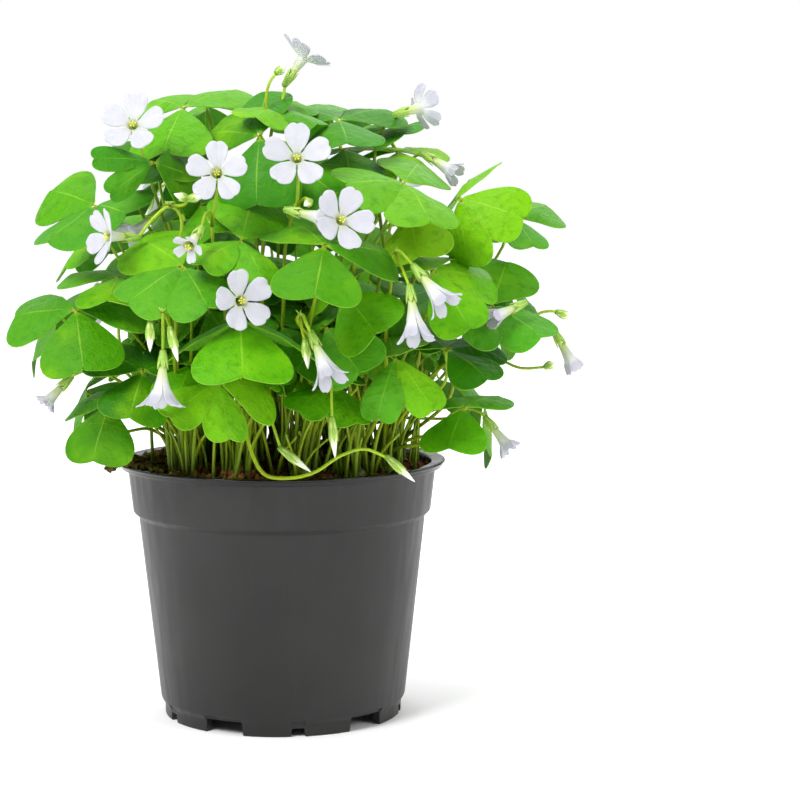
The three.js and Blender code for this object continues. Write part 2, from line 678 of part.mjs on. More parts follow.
// Scapes: the leafless stalks. Each rises from the crown of a bunch. It has lines of
// [column, row, depth] for its stalks, the first the main one, the numbers of the flowers that
// the stalks end in, and buds from foot to tip.
const SCAPES = {
  upper_left: {
    from: 'upper_left',
    stalks: [
      { line: [[190, 330, -26], [172, 250, -38], [158, 203, -44], [149, 175, -50], [143, 155, -54]], to: 1 },
    ],
  },
  left: {
    from: 'left_front',
    stalks: [
      { line: [[176, 330, -58], [178, 255, -66], [181, 217, -70], [170, 206, -72], [152, 220, -74]], to: 9 },
      { line: [[181, 217, -70], [174, 203, -66], [166, 204, -58]], to: 20 },
      { line: [[181, 219, -70], [184, 205, -73], [188, 199, -76]] },
    ],
    buds: [[[188, 199, -76], [174, 194, -80]], [[188, 199, -76], [205, 196, -80]]],
  },
  middle_left: {
    from: 'left_front',
    stalks: [
      { line: [[226, 330, -56], [216, 262, -66], [212, 226, -78], [215, 204, -78]], to: 2 },
      { line: [[212, 226, -78], [211, 213, -84], [205, 215, -90]], to: 10 },
    ],
  },
  low_left: {
    from: 'left_front',
    stalks: [
      { line: [[178, 400, -56], [172, 335, -66], [166, 304, -86], [163, 311, -98], [163, 330, -100]], to: 12 },
      { line: [[163, 311, -98], [154, 315, -98], [150, 323, -98]] },
      { line: [[163, 311, -98], [167, 320, -99], [170, 329, -99]] },
    ],
    buds: [[[150, 323, -98], [150, 352, -100]], [[170, 329, -99], [178, 362, -100]]],
  },
  top: {
    from: 'upper_front',
    stalks: [
      { line: [[262, 300, -48], [252, 200, -46], [255, 150, -44], [264, 128, -48], [277, 112, -44],
        [283, 98, -39]], to: 6 },
      { line: [[266, 126, -48], [266, 105, -46], [269, 84, -46], [276, 73, -45]] },
    ],
    buds: [[[276, 73, -45], [286, 66, -44]]],
  },
  middle: {
    from: 'upper_front',
    stalks: [
      { line: [[282, 330, -52], [285, 250, -54], [290, 222, -60], [297, 203, -74], [298, 186, -72]], to: 3 },
      { line: [[297, 203, -74], [299, 208, -77]], to: 11 },
      { line: [[297, 203, -74], [305, 198, -78], [311, 201, -80]] },
    ],
    buds: [[[311, 201, -80], [304, 206, -82]]],
  },
  front_middle: {
    from: 'front_right',
    stalks: [
      { line: [[316, 400, -56], [316, 352, -64], [297, 320, -84], [303, 315, -91], [306, 323, -94]], to: 15 },
      { line: [[297, 320, -84], [302, 330, -90], [305, 341, -91]] },
    ],
    buds: [[[305, 341, -91], [308, 369, -92]]],
  },
  middle_right: {
    from: 'front_right',
    stalks: [
      { line: [[352, 330, -56], [354, 270, -62], [352, 236, -72]], to: 4 },
      { line: [[350, 345, -56], [345, 368, -70], [333, 380, -76], [332, 420, -80]] },
    ],
    buds: [[[332, 420, -80], [335, 458, -80]]],
  },
  upper_right: {
    from: 'upper_right',
    stalks: [
      { line: [[384, 300, -30], [378, 200, -26], [375, 150, -22], [384, 127, -20], [394, 119, -22]], to: 7 },
      { line: [[379, 210, -26], [400, 170, -22], [424, 152, -26], [434, 155, -30]], to: 8 },
    ],
  },
  right: {
    from: 'right_front',
    stalks: [
      { line: [[384, 400, -54], [386, 330, -58], [391, 280, -62], [391, 257, -70], [399, 251, -78]], to: 13 },
      { line: [[391, 257, -70], [399, 262, -80], [404, 273, -87]], to: 14 },
    ],
  },
  far_right: {
    from: 'far_right',
    stalks: [
      { line: [[448, 400, -18], [461, 352, -22], [490, 330, -30], [508, 324, -38], [530, 327, -42],
        [548, 333, -42]], to: 18 },
      { line: [[508, 324, -38], [506, 320, -48]], to: 19 },
      { line: [[530, 327, -42], [538, 314, -40], [550, 311, -39], [557, 312, -38]] },
      { line: [[450, 395, -18], [470, 362, -22], [492, 357, -25], [520, 368, -28], [545, 367, -30]] },
    ],
    buds: [[[557, 312, -38], [573, 318, -37]], [[545, 367, -30], [557, 362, -30]]],
  },
  far_left: {
    from: 'left',
    stalks: [
      { line: [[150, 420, -32], [128, 388, -36], [112, 377, -40], [98, 372, -44], [84, 371, -46],
        [72, 376, -48]], to: 16 },
    ],
  },
  low_right: {
    from: 'right',
    stalks: [
      { line: [[430, 440, -46], [452, 414, -44], [466, 408, -46], [480, 412, -48]], to: 17 },
    ],
  },
  low_front: {
    from: 'front',
    stalks: [
      { line: [[244, 410, -62], [247, 437, -69], [264, 474, -72], [290, 478, -72], [315, 472, -71],
        [340, 456, -70], [364, 449, -68], [388, 458, -67]] },
      { line: [[244, 410, -62], [228, 340, -64], [232, 312, -76]], to: 5 },
      { line: [[244, 410, -62], [264, 408, -66], [281, 449, -70]] },
    ],
    buds: [[[388, 458, -67], [415, 482, -70]], [[281, 449, -70], [311, 472, -72]]],
  },
};

// Flowers and buds round the back stand straight on their own scapes, clear of the leaves.
const BACK_SCAPES = [
  { from: 1, azimuth: 34, reach: 90, height: 150 },
  { from: 2, azimuth: 62, reach: 88, height: 196 },
  { from: 4, azimuth: 122, reach: 88, height: 192 },
  { from: 5, azimuth: 148, reach: 82, height: 144 },
];

// The point of a line nearest to a place.
function nearestOf(line, place) {
  return line.reduce((best, p) => (p.distanceTo(place) < best.distanceTo(place) ? p : best));
}

function makeScape(scape, sprout) {
  const solids = [];
  let main = [];
  scape.stalks.forEach(({ line, to }, i) => {
    const points = line.map((p) => seen(...p));
    const end = to ? [FLOWER_PLACES[to].foot.clone().addScaledVector(FLOWER_PLACES[to].axis, 0.8)] : [];
    if (i === 0) {
      const built = stalk([...sprout, ...points, ...end], SCAPE);
      main = built.line;
      solids.push(built.solid);
    } else {
      const fork = nearestOf(main, points[0]);
      solids.push(stalk([fork, ...points.slice(1), ...end], PEDICEL).solid);
    }
    if (to) solids.push(makeCalyx(FLOWER_PLACES[to]));
  });
  for (const [from, to] of scape.buds ?? []) {
    const tip = seen(...to);
    solids.push(makeBud(seen(...from).lerp(tip, -0.08), tip));
  }
  return join(solids);
}

function umbelOf(entry) {
  const a = radians(entry.azimuth);
  return vec(entry.reach * Math.cos(a), entry.reach * Math.sin(a), entry.height);
}

function backFlower(entry) {
  const umbel = umbelOf(entry);
  const out = umbel.clone().setZ(0).normalize();
  const throat = umbel.clone().addScaledVector(out, 12).setZ(entry.height + 14);
  return flowerPlace({ at: throat, face: [90 + entry.azimuth, 20], spin: 0, reach: 12, cup: 3 });
}

// Scape round the back: a stalk straight out from its bunch to one flower and one bud.
function backScape(entry, sprout) {
  const a = radians(entry.azimuth);
  const out = vec(Math.cos(a), Math.sin(a), 0);
  const along = vec(-out.y, out.x, 0);
  const umbel = umbelOf(entry);
  const middle = out.clone().multiplyScalar(entry.reach * 0.86).setZ(entry.height * 0.6 + 40);
  const flower = backFlower(entry);
  const end = flower.foot.clone().addScaledVector(flower.axis, 0.8);
  const main = stalk([...sprout, middle, umbel, end], SCAPE);
  const fork = nearestOf(main.line, umbel);
  const knee = fork.clone().addScaledVector(along, 7).setZ(fork.z + 8);
  const bend = fork.clone().addScaledVector(along, 13).setZ(fork.z + 3);
  const bud = makeBud(bend.clone().setZ(bend.z + 0.9), bend.clone().addScaledVector(along, 3).setZ(bend.z - 9));
  const side = stalk([fork, knee, bend], PEDICEL).solid;
  return join([main.solid, side, bud, makeCalyx(flower)]);
}

// Bunch: a crown with the leaves and flower stalks that rise from it.
function makeBunch(bunch) {
  const [x, y] = bunch.foot;
  const top = soilTop(x, y);
  const stub = prism(ring(x, y, CROWN.radius, 6), top - CROWN.buried, top + CROWN.top);
  const targets = [...bunch.leaves.map((leaf) => leaf.hub), ...bunch.scapes.map((s) => s.target)];
  const sprouts = sproutsOf(bunch.foot, targets);
  const leaves = bunch.leaves.map((leaf, i) => makeLeaf(leaf, sprouts[i]));
  const scapes = bunch.scapes.map((s, i) => s.grow(sprouts[bunch.leaves.length + i]));
  return join([stub, ...leaves, ...scapes]);
}

// Assembly

const part = new THREE.Group();
part.add(toMesh('pot', makePot(), COLOUR.pot, 0.45));

const flowers = Object.entries(FLOWER_PLACES).map(([key, f]) => [key.padStart(2, '0'), f]);
const bunches = Object.entries(FRONT_BUNCHES).map(([name, bunch]) => ({
  name: `bunch_${name}`,
  foot: bunch.foot,
  leaves: bunch.leaves.map(seenLeaf),
  scapes: Object.values(SCAPES)
    .filter((scape) => scape.from === name)
    .map((scape) => ({
      target: seen(...scape.stalks[0].line[0]),
      grow: (sprout) => makeScape(scape, sprout),
    })),
}));
backBunches().forEach((bunch, i) => {
  const own = BACK_SCAPES.filter((entry) => entry.from === i + 1);
  own.forEach((entry) => flowers.push([`back_${i + 1}`, backFlower(entry)]));
  const scapes = own.map((entry) => ({
    target: umbelOf(entry),
    grow: (sprout) => backScape(entry, sprout),
  }));
  bunches.push({ ...bunch, scapes });
});

part.add(toMesh('soil', makeSoil(bunches.map((bunch) => bunch.foot)), COLOUR.soil, 1));
for (const bunch of bunches) part.add(toMesh(bunch.name, makeBunch(bunch), COLOUR.bunch, 0.5));
for (const [key, flower] of flowers) {
  part.add(toMesh(`corolla_${key}`, makeCorolla(flower), COLOUR.corolla, 0.6));
}

// The frame's origin is under the middle of the whole plant, so all the pieces move together.
const middle = new THREE.Box3().setFromObject(part).getCenter(vec());
for (const piece of part.children) piece.geometry.translate(-middle.x, -middle.y, 0);

export default part;
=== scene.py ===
# %% [markdown]
# # Potted oxalis
# A wood sorrel with white flowers, thick with three-part leaves, grows in a dark nursery pot.
# The plant is made leaf by leaf from the same drawn places that the solids were made from.
# That keeps every finer piece where its solid is, and it can be looked at from any side.

# %% Frame
import math
import random

import bmesh
import bpy
import numpy as np
from mathutils import Matrix, Vector, noise


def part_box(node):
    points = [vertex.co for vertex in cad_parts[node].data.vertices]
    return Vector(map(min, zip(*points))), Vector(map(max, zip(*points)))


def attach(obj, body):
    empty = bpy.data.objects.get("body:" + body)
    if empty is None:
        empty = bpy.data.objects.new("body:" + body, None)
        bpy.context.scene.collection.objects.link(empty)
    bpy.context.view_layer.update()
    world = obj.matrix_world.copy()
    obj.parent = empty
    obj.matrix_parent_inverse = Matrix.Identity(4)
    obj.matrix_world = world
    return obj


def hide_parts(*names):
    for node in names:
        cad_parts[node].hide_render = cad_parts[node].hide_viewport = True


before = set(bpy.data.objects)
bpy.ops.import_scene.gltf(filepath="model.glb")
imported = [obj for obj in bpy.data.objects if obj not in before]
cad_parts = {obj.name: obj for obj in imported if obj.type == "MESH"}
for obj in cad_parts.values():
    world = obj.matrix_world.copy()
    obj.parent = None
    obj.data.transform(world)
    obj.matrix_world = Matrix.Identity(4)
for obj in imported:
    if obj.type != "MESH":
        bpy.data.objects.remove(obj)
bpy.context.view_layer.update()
pot_low, pot_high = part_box("pot")
POT_MIDDLE = np.array([(pot_low[i] + pot_high[i]) * 500 for i in (0, 1)] + [0.0])
print("pot's middle, mm:", POT_MIDDLE.round(3), "nodes:", len(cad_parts))

# %% [markdown]
# ## Measures
# All measures are millimetres round the middle of the pot, with the front of the plant looking
# along -Y. They become metres in the frame only when a mesh is made, so each number below can be
# held against a ruler. The pot is a common 13 cm one, and the rest is drawn against it.

# %% Measures
POT = {
    "lip_radius": 65, "lip_height": 3, "height": 102,
    "band_top": 61.2, "band_bottom": 59.2, "band_foot": 81.8,
    "wall_top": 57, "ledge": 79.7, "wall_bottom": 48.9,
    "foot_height": 6.9, "foot_radius": 47.3, "foot_width": 3.2, "wall": 1.9,
}
FEET = {"count": 5, "first": -80.2, "gap": 19.4, "gap_height": 5.3, "slot": 5.2, "slot_height": 3.2}
DRAIN = {"radius": 4, "reach": 38}
POCKET = {"deep": 9, "wall": 1.4, "clear": 0.4}
SOIL = {"edge": 98.3, "mound": 6, "lumps": 0.9}
CROWN = {"radius": 4.6, "top": 2.2, "spread": 2.9, "depth": 3, "sprout": 7}
PETIOLE = {"radius": 0.75, "neck": 14}
SCAPE = {"radius": 0.85, "steps": 1.15}
PEDICEL = {"radius": 0.7}
LEAFLET = {"fold": 14, "arch": 0.05, "half_width": 0.64, "room": 0.74, "start": 1.3, "thick": 0.34}
CALYX = {"length": 5.6, "foot": 0.9, "mouth": 1.9}
COROLLA = {"gap": 0.35, "tube": 6.8, "foot": 1.25, "throat": 2.6, "thick": 0.26}

# %% [markdown]
# ## Camera
# The photograph looks at the plant a little from above, from about ninety centimetres, with a
# long lens. The eye below was found from the ellipses of the pot's lip and foot. The same eye
# turns a column and a row of the view into a place, once somebody says how deep the place is.

# %% Camera
EYE = {"x": 47, "y": -895, "z": 216, "pitch": 5.8, "focal": 2260, "middle": 400}
SENSOR = 36


def vec(x, y, z):
    return np.array((x, y, z), dtype=float)


def unit(v):
    return v / np.linalg.norm(v)


def to_frame(points):
    return (np.asarray(points, dtype=float) + POT_MIDDLE) / 1000


EYE_PLACE = vec(EYE["x"], EYE["y"], EYE["z"])
camera_data = bpy.data.cameras.new("camera")
camera_data.lens = EYE["focal"] * SENSOR / (2 * EYE["middle"])
camera_data.sensor_width = SENSOR
camera_data.clip_end = 50
camera = bpy.data.objects.new("camera", camera_data)
camera.location = to_frame(EYE_PLACE)
camera.rotation_euler = (math.radians(90 - EYE["pitch"]), 0, 0)
scene = bpy.context.scene
scene.collection.objects.link(camera)
scene.camera = camera
print("lens, mm:", round(camera_data.lens, 1))


# %% Places seen from the eye
def sight(column, row):
    """Direction from the eye through a column and row of the view."""
    right = (column - EYE["middle"]) / EYE["focal"]
    up = (EYE["middle"] - row) / EYE["focal"]
    pitch = math.radians(EYE["pitch"])
    return vec(right, math.cos(pitch) + up * math.sin(pitch), up * math.cos(pitch) - math.sin(pitch))


def seen(column, row, deep):
    """Place at a depth that the eye sees at a column and row."""
    ray = sight(column, row)
    return EYE_PLACE + ray * (deep - EYE_PLACE[1]) / ray[1]


def seen_at_reach(column, row, centre, reach, side):
    """Place at a reach from a centre, on the near (-1) or far (+1) side of it."""
    ray = unit(sight(column, row))
    closest = EYE_PLACE + ray * np.dot(centre - EYE_PLACE, ray)
    off = np.linalg.norm(closest - centre)
    half = math.sqrt(max(0.0, reach * reach - off * off))
    return centre + unit(closest + ray * side * half - centre) * reach


# %% [markdown]
# ## Studio
# The plant stands on a plain white table in very soft light. The table glows, so it burns out to white. The faint
# shadow under the pot is partly cast by the lamps and partly painted shadow, where the table's glow fades out near
# the pot. A large soft light stands high at the left of the camera and a weaker one at the right. The surroundings
# are white behind the plant and darker behind the camera, which leaves the front of the pot dark and brightens its
# sides.

# %% Studio
scene.view_settings.view_transform = "Standard"
scene.view_settings.look = "None"

world = bpy.data.worlds.new("studio")
scene.world = world
world.use_nodes = True
nodes = world.node_tree.nodes
links = world.node_tree.links
nodes.clear()
direction = nodes.new("ShaderNodeTexCoord")
parts = nodes.new("ShaderNodeSeparateXYZ")
links.new(direction.outputs["Generated"], parts.inputs[0])
dimming = nodes.new("ShaderNodeMapRange")
for socket, value in (("From Min", -0.75), ("From Max", 0.35), ("To Min", 0.3), ("To Max", 0.9)):
    dimming.inputs[socket].default_value = value
links.new(parts.outputs["Y"], dimming.inputs["Value"])
surroundings = nodes.new("ShaderNodeBackground")
surroundings.inputs["Color"].default_value = (1, 1, 1, 1)
links.new(dimming.outputs[0], surroundings.inputs["Strength"])
backdrop = nodes.new("ShaderNodeBackground")
backdrop.inputs["Color"].default_value = (1, 1, 1, 1)
backdrop.inputs["Strength"].default_value = 1.0
path = nodes.new("ShaderNodeLightPath")
choice = nodes.new("ShaderNodeMixShader")
sky = nodes.new("ShaderNodeOutputWorld")
links.new(path.outputs["Is Camera Ray"], choice.inputs[0])
links.new(surroundings.outputs[0], choice.inputs[1])
links.new(backdrop.outputs[0], choice.inputs[2])
links.new(choice.outputs[0], sky.inputs["Surface"])


def soft_light(name, place, size, power):
    light = bpy.data.lights.new(name, "AREA")
    light.shape = "DISK"
    light.size = size
    light.energy = power
    lamp = bpy.data.objects.new(name, light)
    lamp.location = place
    aim = Vector((0, 0, 0.14)) - Vector(place)
    lamp.rotation_euler = aim.to_track_quat("-Z", "Y").to_euler()
    scene.collection.objects.link(lamp)


soft_light("key_light", (-0.75, -0.95, 1.25), 0.7, 25)
soft_light("fill_light", (1.1, -0.7, 0.7), 0.8, 7)
soft_light("top_light", (0.1, 0.5, 1.5), 1.0, 8)
soft_light("back_light", (0.5, 1.2, 0.9), 1.0, 4)


# %% [markdown]
# ## Finishes
# Every finish is built from nodes alone. A few helpers keep that short: one makes a material
# with its shader, one wires a node in, one mixes two colours. Colours are given as they look on
# a screen, and are turned into the linear ones that the shader needs.

# %% Finish helpers
def colour(red, green, blue):
    channels = [c / 255 for c in (red, green, blue)]
    linear = [c / 12.92 if c <= 0.04045 else ((c + 0.055) / 1.055) ** 2.4 for c in channels]
    return (*linear, 1)


class Finish:
    """A material with one Principled shader, and short calls for the nodes that feed it."""

    def __init__(self, name, **sockets):
        self.material = bpy.data.materials.new(name)
        self.material.use_nodes = True
        tree = self.material.node_tree
        self.nodes = tree.nodes
        self.links = tree.links
        self.shader = self.nodes["Principled BSDF"]
        for socket, value in sockets.items():
            self.shader.inputs[socket.replace("_", " ")].default_value = value

    def node(self, kind, inputs=(), **settings):
        made = self.nodes.new("ShaderNode" + kind)
        for name, value in settings.items():
            setattr(made, name, value)
        for key, value in dict(inputs).items():
            if isinstance(value, bpy.types.NodeSocket):
                self.links.new(value, made.inputs[key])
            else:
                made.inputs[key].default_value = value
        return made

    def feed(self, socket, value):
        self.links.new(value, self.shader.inputs[socket])

    def mix(self, share, first, second, blend="MIX"):
        made = self.node("Mix", data_type="RGBA", blend_type=blend)
        for index, value in ((0, share), (6, first), (7, second)):
            if isinstance(value, bpy.types.NodeSocket):
                self.links.new(value, made.inputs[index])
            else:
                made.inputs[index].default_value = value
        return made.outputs[2]

    def range(self, value, low, high, to_low=0.0, to_high=1.0):
        made = self.node("MapRange", {"Value": value}, interpolation_type="SMOOTHSTEP")
        for key, number in (("From Min", low), ("From Max", high), ("To Min", to_low), ("To Max", to_high)):
            made.inputs[key].default_value = number
        return made.outputs[0]

    def maths(self, operation, first, second=0.0):
        made = self.node("Math", operation=operation)
        for index, value in ((0, first), (1, second)):
            if isinstance(value, bpy.types.NodeSocket):
                self.links.new(value, made.inputs[index])
            else:
                made.inputs[index].default_value = value
        return made.outputs[0]

    def noise(self, scale, detail=3.0, roughness=0.5, vector=None):
        place = vector or self.node("TexCoord").outputs["Object"]
        inputs = {"Vector": place, "Scale": scale, "Detail": detail, "Roughness": roughness}
        return self.node("TexNoise", inputs).outputs["Fac"]

    def bump(self, height, strength, distance):
        made = self.node("Bump", {"Height": height, "Strength": strength, "Distance": distance})
        self.feed("Normal", made.outputs[0])

    def marks(self):
        """The two numbers that each point of a mesh carries: across and along."""
        uv = self.node("UVMap", uv_map="marks")
        return self.node("SeparateXYZ", {0: uv.outputs[0]}).outputs

    def tint(self):
        return self.node("Attribute", attribute_name="tint").outputs["Fac"]


# %% [markdown]
# ## Leaf finish
# An oxalis leaflet is a clear fresh green, lit from above and glowing a little where light comes
# through it. The midrib and the finest veins are paler lines and the edge has a thin pale rim.
# Each leaflet carries its own tint, so no two are the same green. The marks on the mesh say how
# far a point is from the midrib and how far along, so the veins follow the leaflet's form.

# %% Leaf finish
VEINS = 7


def leaf_finish(name, deep, fresh, bright, shine):
    finish = Finish(name, Roughness=shine, Subsurface_Weight=0.15, Subsurface_Scale=0.002)
    finish.shader.inputs["Subsurface Radius"].default_value = (0.5, 1.0, 0.1)
    finish.shader.inputs["Specular IOR Level"].default_value = 0.12
    across, along, _ = finish.marks()
    away = finish.maths("ABSOLUTE", across)
    tint = finish.tint()
    cloud = finish.noise(45, 2, 0.5)
    crinkle_and_painted_shade = finish.noise(300, 3, 0.6)
    green = finish.mix(finish.range(tint, 0.0, 0.5), deep, fresh)
    green = finish.mix(finish.range(tint, 0.55, 1.0, 0.0, 0.85), green, bright)
    green = finish.mix(finish.range(cloud, 0.5, 0.75, 0.0, 0.5), green, bright)
    bloom = finish.maths("FRACT", finish.maths("MULTIPLY", tint, 5.7))
    green = finish.mix(finish.range(bloom, 0.55, 0.9, 0.0, 0.6), green, LEAF_BLOOM)
    # Darker green in the crinkle pattern: painted shade of the crinkled surface; the same pattern also drives the
    # bump.
    green = finish.mix(finish.range(crinkle_and_painted_shade, 0.46, 0.74, 0.0, 0.4), green, deep)
    drift = finish.maths("ADD", along, finish.maths("MULTIPLY", cloud, 0.15))
    comb = finish.maths("PINGPONG", finish.maths("MULTIPLY", drift, VEINS), 0.5)
    vein = finish.maths("MULTIPLY", finish.range(comb, 0.0, 0.06, 0.09, 0.0), finish.range(away, 0.95, 0.4))
    green = finish.mix(vein, green, LEAF_RIB)
    green = finish.mix(finish.range(away, 0.01, 0.032, 0.36, 0.0), green, LEAF_RIB)
    green = finish.mix(finish.range(away, 0.975, 1.0, 0.0, 0.3), green, LEAF_RIB)
    green = finish.mix(finish.range(along, 0.0, 0.08, 0.5, 0.0), green, LEAF_RIB)
    finish.feed("Base Color", green)
    finish.feed("Roughness", finish.range(cloud, 0.3, 0.7, shine - 0.06, shine + 0.1))
    finish.bump(finish.maths("SUBTRACT", crinkle_and_painted_shade, finish.maths("MULTIPLY", vein, 0.8)), 0.65, 0.0013)
    return finish.material


LEAF_RIB = colour(160, 202, 66)
LEAF_BLOOM = colour(58, 134, 28)
LEAF_TOP = leaf_finish("leaf_top", colour(44, 108, 1), colour(84, 156, 3), colour(132, 188, 18), 0.48)
LEAF_UNDER = leaf_finish("leaf_under", colour(54, 116, 18), colour(94, 158, 36), colour(132, 188, 60), 0.6)

# %% [markdown]
# ## Stalk, crown and flower finishes
# Stalks run from a dark olive at the soil, partly their own colour and partly painted shade where they crowd
# together, to a bright yellow green under the leaf, with fine length lines. Petals are white with a cool tinge and
# hair-thin grey veins, and a green throat, and are painted a greyer green towards the throat as shade in the cup. A
# throat needs no mesh of its own: the marks run from the foot of the tube to the petal's tip.

# %% Stalk finish
stalk = Finish("stalk_green", Roughness=0.46, Subsurface_Weight=0.2, Subsurface_Scale=0.0015)
stalk.shader.inputs["Subsurface Radius"].default_value = (0.7, 1.0, 0.2)
stalk.shader.inputs["Specular IOR Level"].default_value = 0.2
across, along, _ = stalk.marks()
streak = stalk.noise(900, 2, 0.5)
# Dark olive at the soil end: partly the stalks' own colour, partly painted shade among the crowded stalks.
base = stalk.mix(stalk.range(along, 0.0, 0.42), colour(64, 76, 6), colour(150, 172, 24))
base = stalk.mix(stalk.range(along, 0.6, 1.0), base, colour(166, 198, 54))
base = stalk.mix(stalk.maths("MULTIPLY", stalk.tint(), 0.6), base, colour(92, 128, 12))
stalk.feed("Base Color", stalk.mix(stalk.range(streak, 0.35, 0.75, 0.0, 0.3), base, colour(110, 138, 18)))
stalk.bump(streak, 0.2, 0.0002)
STALK = stalk.material

crown = Finish("crown_scales", Roughness=0.6)
grime = crown.noise(420, 4, 0.6)
crown.feed("Base Color", crown.mix(crown.range(grime, 0.35, 0.65), colour(64, 58, 24), colour(120, 128, 48)))
crown.bump(grime, 0.6, 0.0006)
CROWN_SCALES = crown.material

# %% Petal finish
petal = Finish("petal_white", Roughness=0.5, Subsurface_Weight=0.3, Subsurface_Scale=0.002,
               Sheen_Weight=0.15)
petal.shader.inputs["Subsurface Radius"].default_value = (1.0, 1.0, 1.0)
petal.shader.inputs["Specular IOR Level"].default_value = 0.3
across, along, _ = petal.marks()
lines = petal.maths("PINGPONG", petal.maths("MULTIPLY", across, 4.5), 0.5)
faint = petal.noise(260, 2, 0.5)
white = petal.mix(petal.range(faint, 0.3, 0.75, 0.0, 0.5), colour(190, 189, 199), colour(174, 174, 188))
vein = petal.maths("MULTIPLY", petal.range(lines, 0.0, 0.16, 0.42, 0.0), petal.range(along, 0.75, 0.15))
white = petal.mix(vein, white, colour(176, 178, 196))
# Greyer green towards the throat: painted shade in the cup of the flower.
white = petal.mix(petal.range(along, 0.3, 0.02, 0.0, 0.4), white, colour(176, 184, 152))
white = petal.mix(petal.range(along, 0.04, -0.2, 0.0, 0.8), white, colour(222, 234, 140))
white = petal.mix(petal.range(along, -0.25, -0.9), white, colour(214, 226, 80))
petal.feed("Base Color", white)
petal.bump(petal.range(lines, 0.0, 0.3), 0.25, 0.0002)
PETAL = petal.material

tube = Finish("tube_outside", Roughness=0.5, Subsurface_Weight=0.25, Subsurface_Scale=0.002)
tube.shader.inputs["Subsurface Radius"].default_value = (1.0, 1.0, 1.0)
across, along, _ = tube.marks()
shade = tube.mix(tube.range(along, -0.9, 0.1), colour(186, 208, 96), colour(206, 207, 206))
ridge = tube.maths("PINGPONG", tube.maths("MULTIPLY", across, 3.0), 0.5)
shade = tube.mix(tube.range(ridge, 0.0, 0.12, 0.3, 0.0), shade, colour(180, 190, 150))
grain = tube.noise(260, 2, 0.5)
shade = tube.mix(tube.range(grain, 0.3, 0.75, 0.0, 0.4), shade, colour(194, 195, 206))
tube.feed("Base Color", tube.mix(tube.range(along, 0.1, 0.5, 0.0, 0.8), shade, colour(166, 164, 182)))
tube.bump(tube.range(ridge, 0.0, 0.3), 0.25, 0.0002)
TUBE = tube.material

anther = Finish("anther_yellow", Roughness=0.75)
dust = anther.noise(2400, 2, 0.6)
anther.feed("Base Color", anther.mix(dust, colour(226, 208, 56), colour(248, 238, 110)))
anther.bump(dust, 0.5, 0.0002)
ANTHER = anther.material

# %% Calyx and bud finish
sepal = Finish("sepal_green", Roughness=0.45, Subsurface_Weight=0.2, Subsurface_Scale=0.0015)
sepal.shader.inputs["Subsurface Radius"].default_value = (0.7, 1.0, 0.2)
across, along, _ = sepal.marks()
away = sepal.maths("ABSOLUTE", across)
green = sepal.mix(sepal.range(along, 0.0, 1.0), colour(124, 168, 44), colour(158, 198, 74))
green = sepal.mix(sepal.range(away, 0.6, 1.0, 0.0, 0.6), green, colour(206, 226, 140))
speck = sepal.noise(700, 3, 0.5)
sepal.feed("Base Color", sepal.mix(sepal.range(speck, 0.4, 0.8, 0.0, 0.4), green, colour(92, 142, 32)))
sepal.bump(speck, 0.25, 0.0002)
SEPAL = sepal.material

bud = Finish("bud_tip", Roughness=0.5, Subsurface_Weight=0.25, Subsurface_Scale=0.0015)
bud.shader.inputs["Subsurface Radius"].default_value = (1.0, 1.0, 0.6)
across, along, _ = bud.marks()
twist = bud.maths("PINGPONG", bud.maths("ADD", bud.maths("MULTIPLY", across, 5.0), along), 0.5)
pale = bud.mix(bud.range(along, 0.35, 0.8), colour(190, 214, 110), colour(240, 243, 224))
pale = bud.mix(bud.range(twist, 0.0, 0.14, 0.4, 0.0), pale, colour(176, 196, 120))
bud.feed("Base Color", pale)
bud.bump(bud.noise(500, 2, 0.5), 0.2, 0.0002)
BUD = bud.material
print("plant finishes:", LEAF_TOP.name, LEAF_UNDER.name, STALK.name, PETAL.name, SEPAL.name)


# %% [markdown]
# ## A pile of skins
# Each bunch is one piece of many small skins: leaflets, stalks, calyxes. They could be separate
# objects joined at the end, but gathering their points first and making one mesh is quicker and
# leaves nothing to clean up. A pile takes points and faces, the finish of the faces, the two
# marks of every point and the tint.

# %% Pile
class Pile:
    def __init__(self, finishes):
        self.finishes = finishes
        self.points = []
        self.marks = []
        self.tints = []
        self.faces = []
        self.kinds = []
        self.smooth = []
        self.count = 0

    def add(self, points, faces, finish, marks, tint=0.0, smooth=True):
        points = np.asarray(points, dtype=float).reshape(-1, 3)
        self.points.append(points)
        self.marks.append(np.asarray(marks, dtype=float).reshape(-1, 2))
        self.tints.append(np.full(len(points), float(tint)))
        self.more(faces, finish, smooth, self.count)
        self.count += len(points)

    def more(self, faces, finish, smooth, base):
        """More faces on points that are in the pile already, counted from base."""
        self.faces.extend((np.asarray(faces) + base).tolist())
        self.kinds.extend([self.finishes.index(finish)] * len(faces))
        self.smooth.extend([smooth] * len(faces))

    def to_piece(self, name):
        mesh = bpy.data.meshes.new(name)
        mesh.from_pydata(to_frame(np.vstack(self.points)).tolist(), [], self.faces)
        for finish in self.finishes:
            mesh.materials.append(finish)
        mesh.polygons.foreach_set("material_index", self.kinds)
        mesh.polygons.foreach_set("use_smooth", self.smooth)
        corners = np.empty(len(mesh.loops), dtype=np.int32)
        mesh.loops.foreach_get("vertex_index", corners)
        layer = mesh.uv_layers.new(name="marks")
        layer.data.foreach_set("uv", np.vstack(self.marks)[corners].ravel())
        tint = mesh.attributes.new("tint", "FLOAT", "POINT")
        tint.data.foreach_set("value", np.concatenate(self.tints))
        mesh.update()
        piece = bpy.data.objects.new(name, mesh)
        scene.collection.objects.link(piece)
        return piece


# %% Skins from grids
def grid_faces(rows, columns, closed=False):
    """Quads between the points of a grid; closed joins its last column to its first."""
    index = np.arange(rows * columns).reshape(rows, columns)
    if closed:
        index = np.hstack([index, index[:, :1]])
    corners = (index[:-1, :-1], index[1:, :-1], index[1:, 1:], index[:-1, 1:])
    return np.stack(corners, axis=-1).reshape(-1, 4)


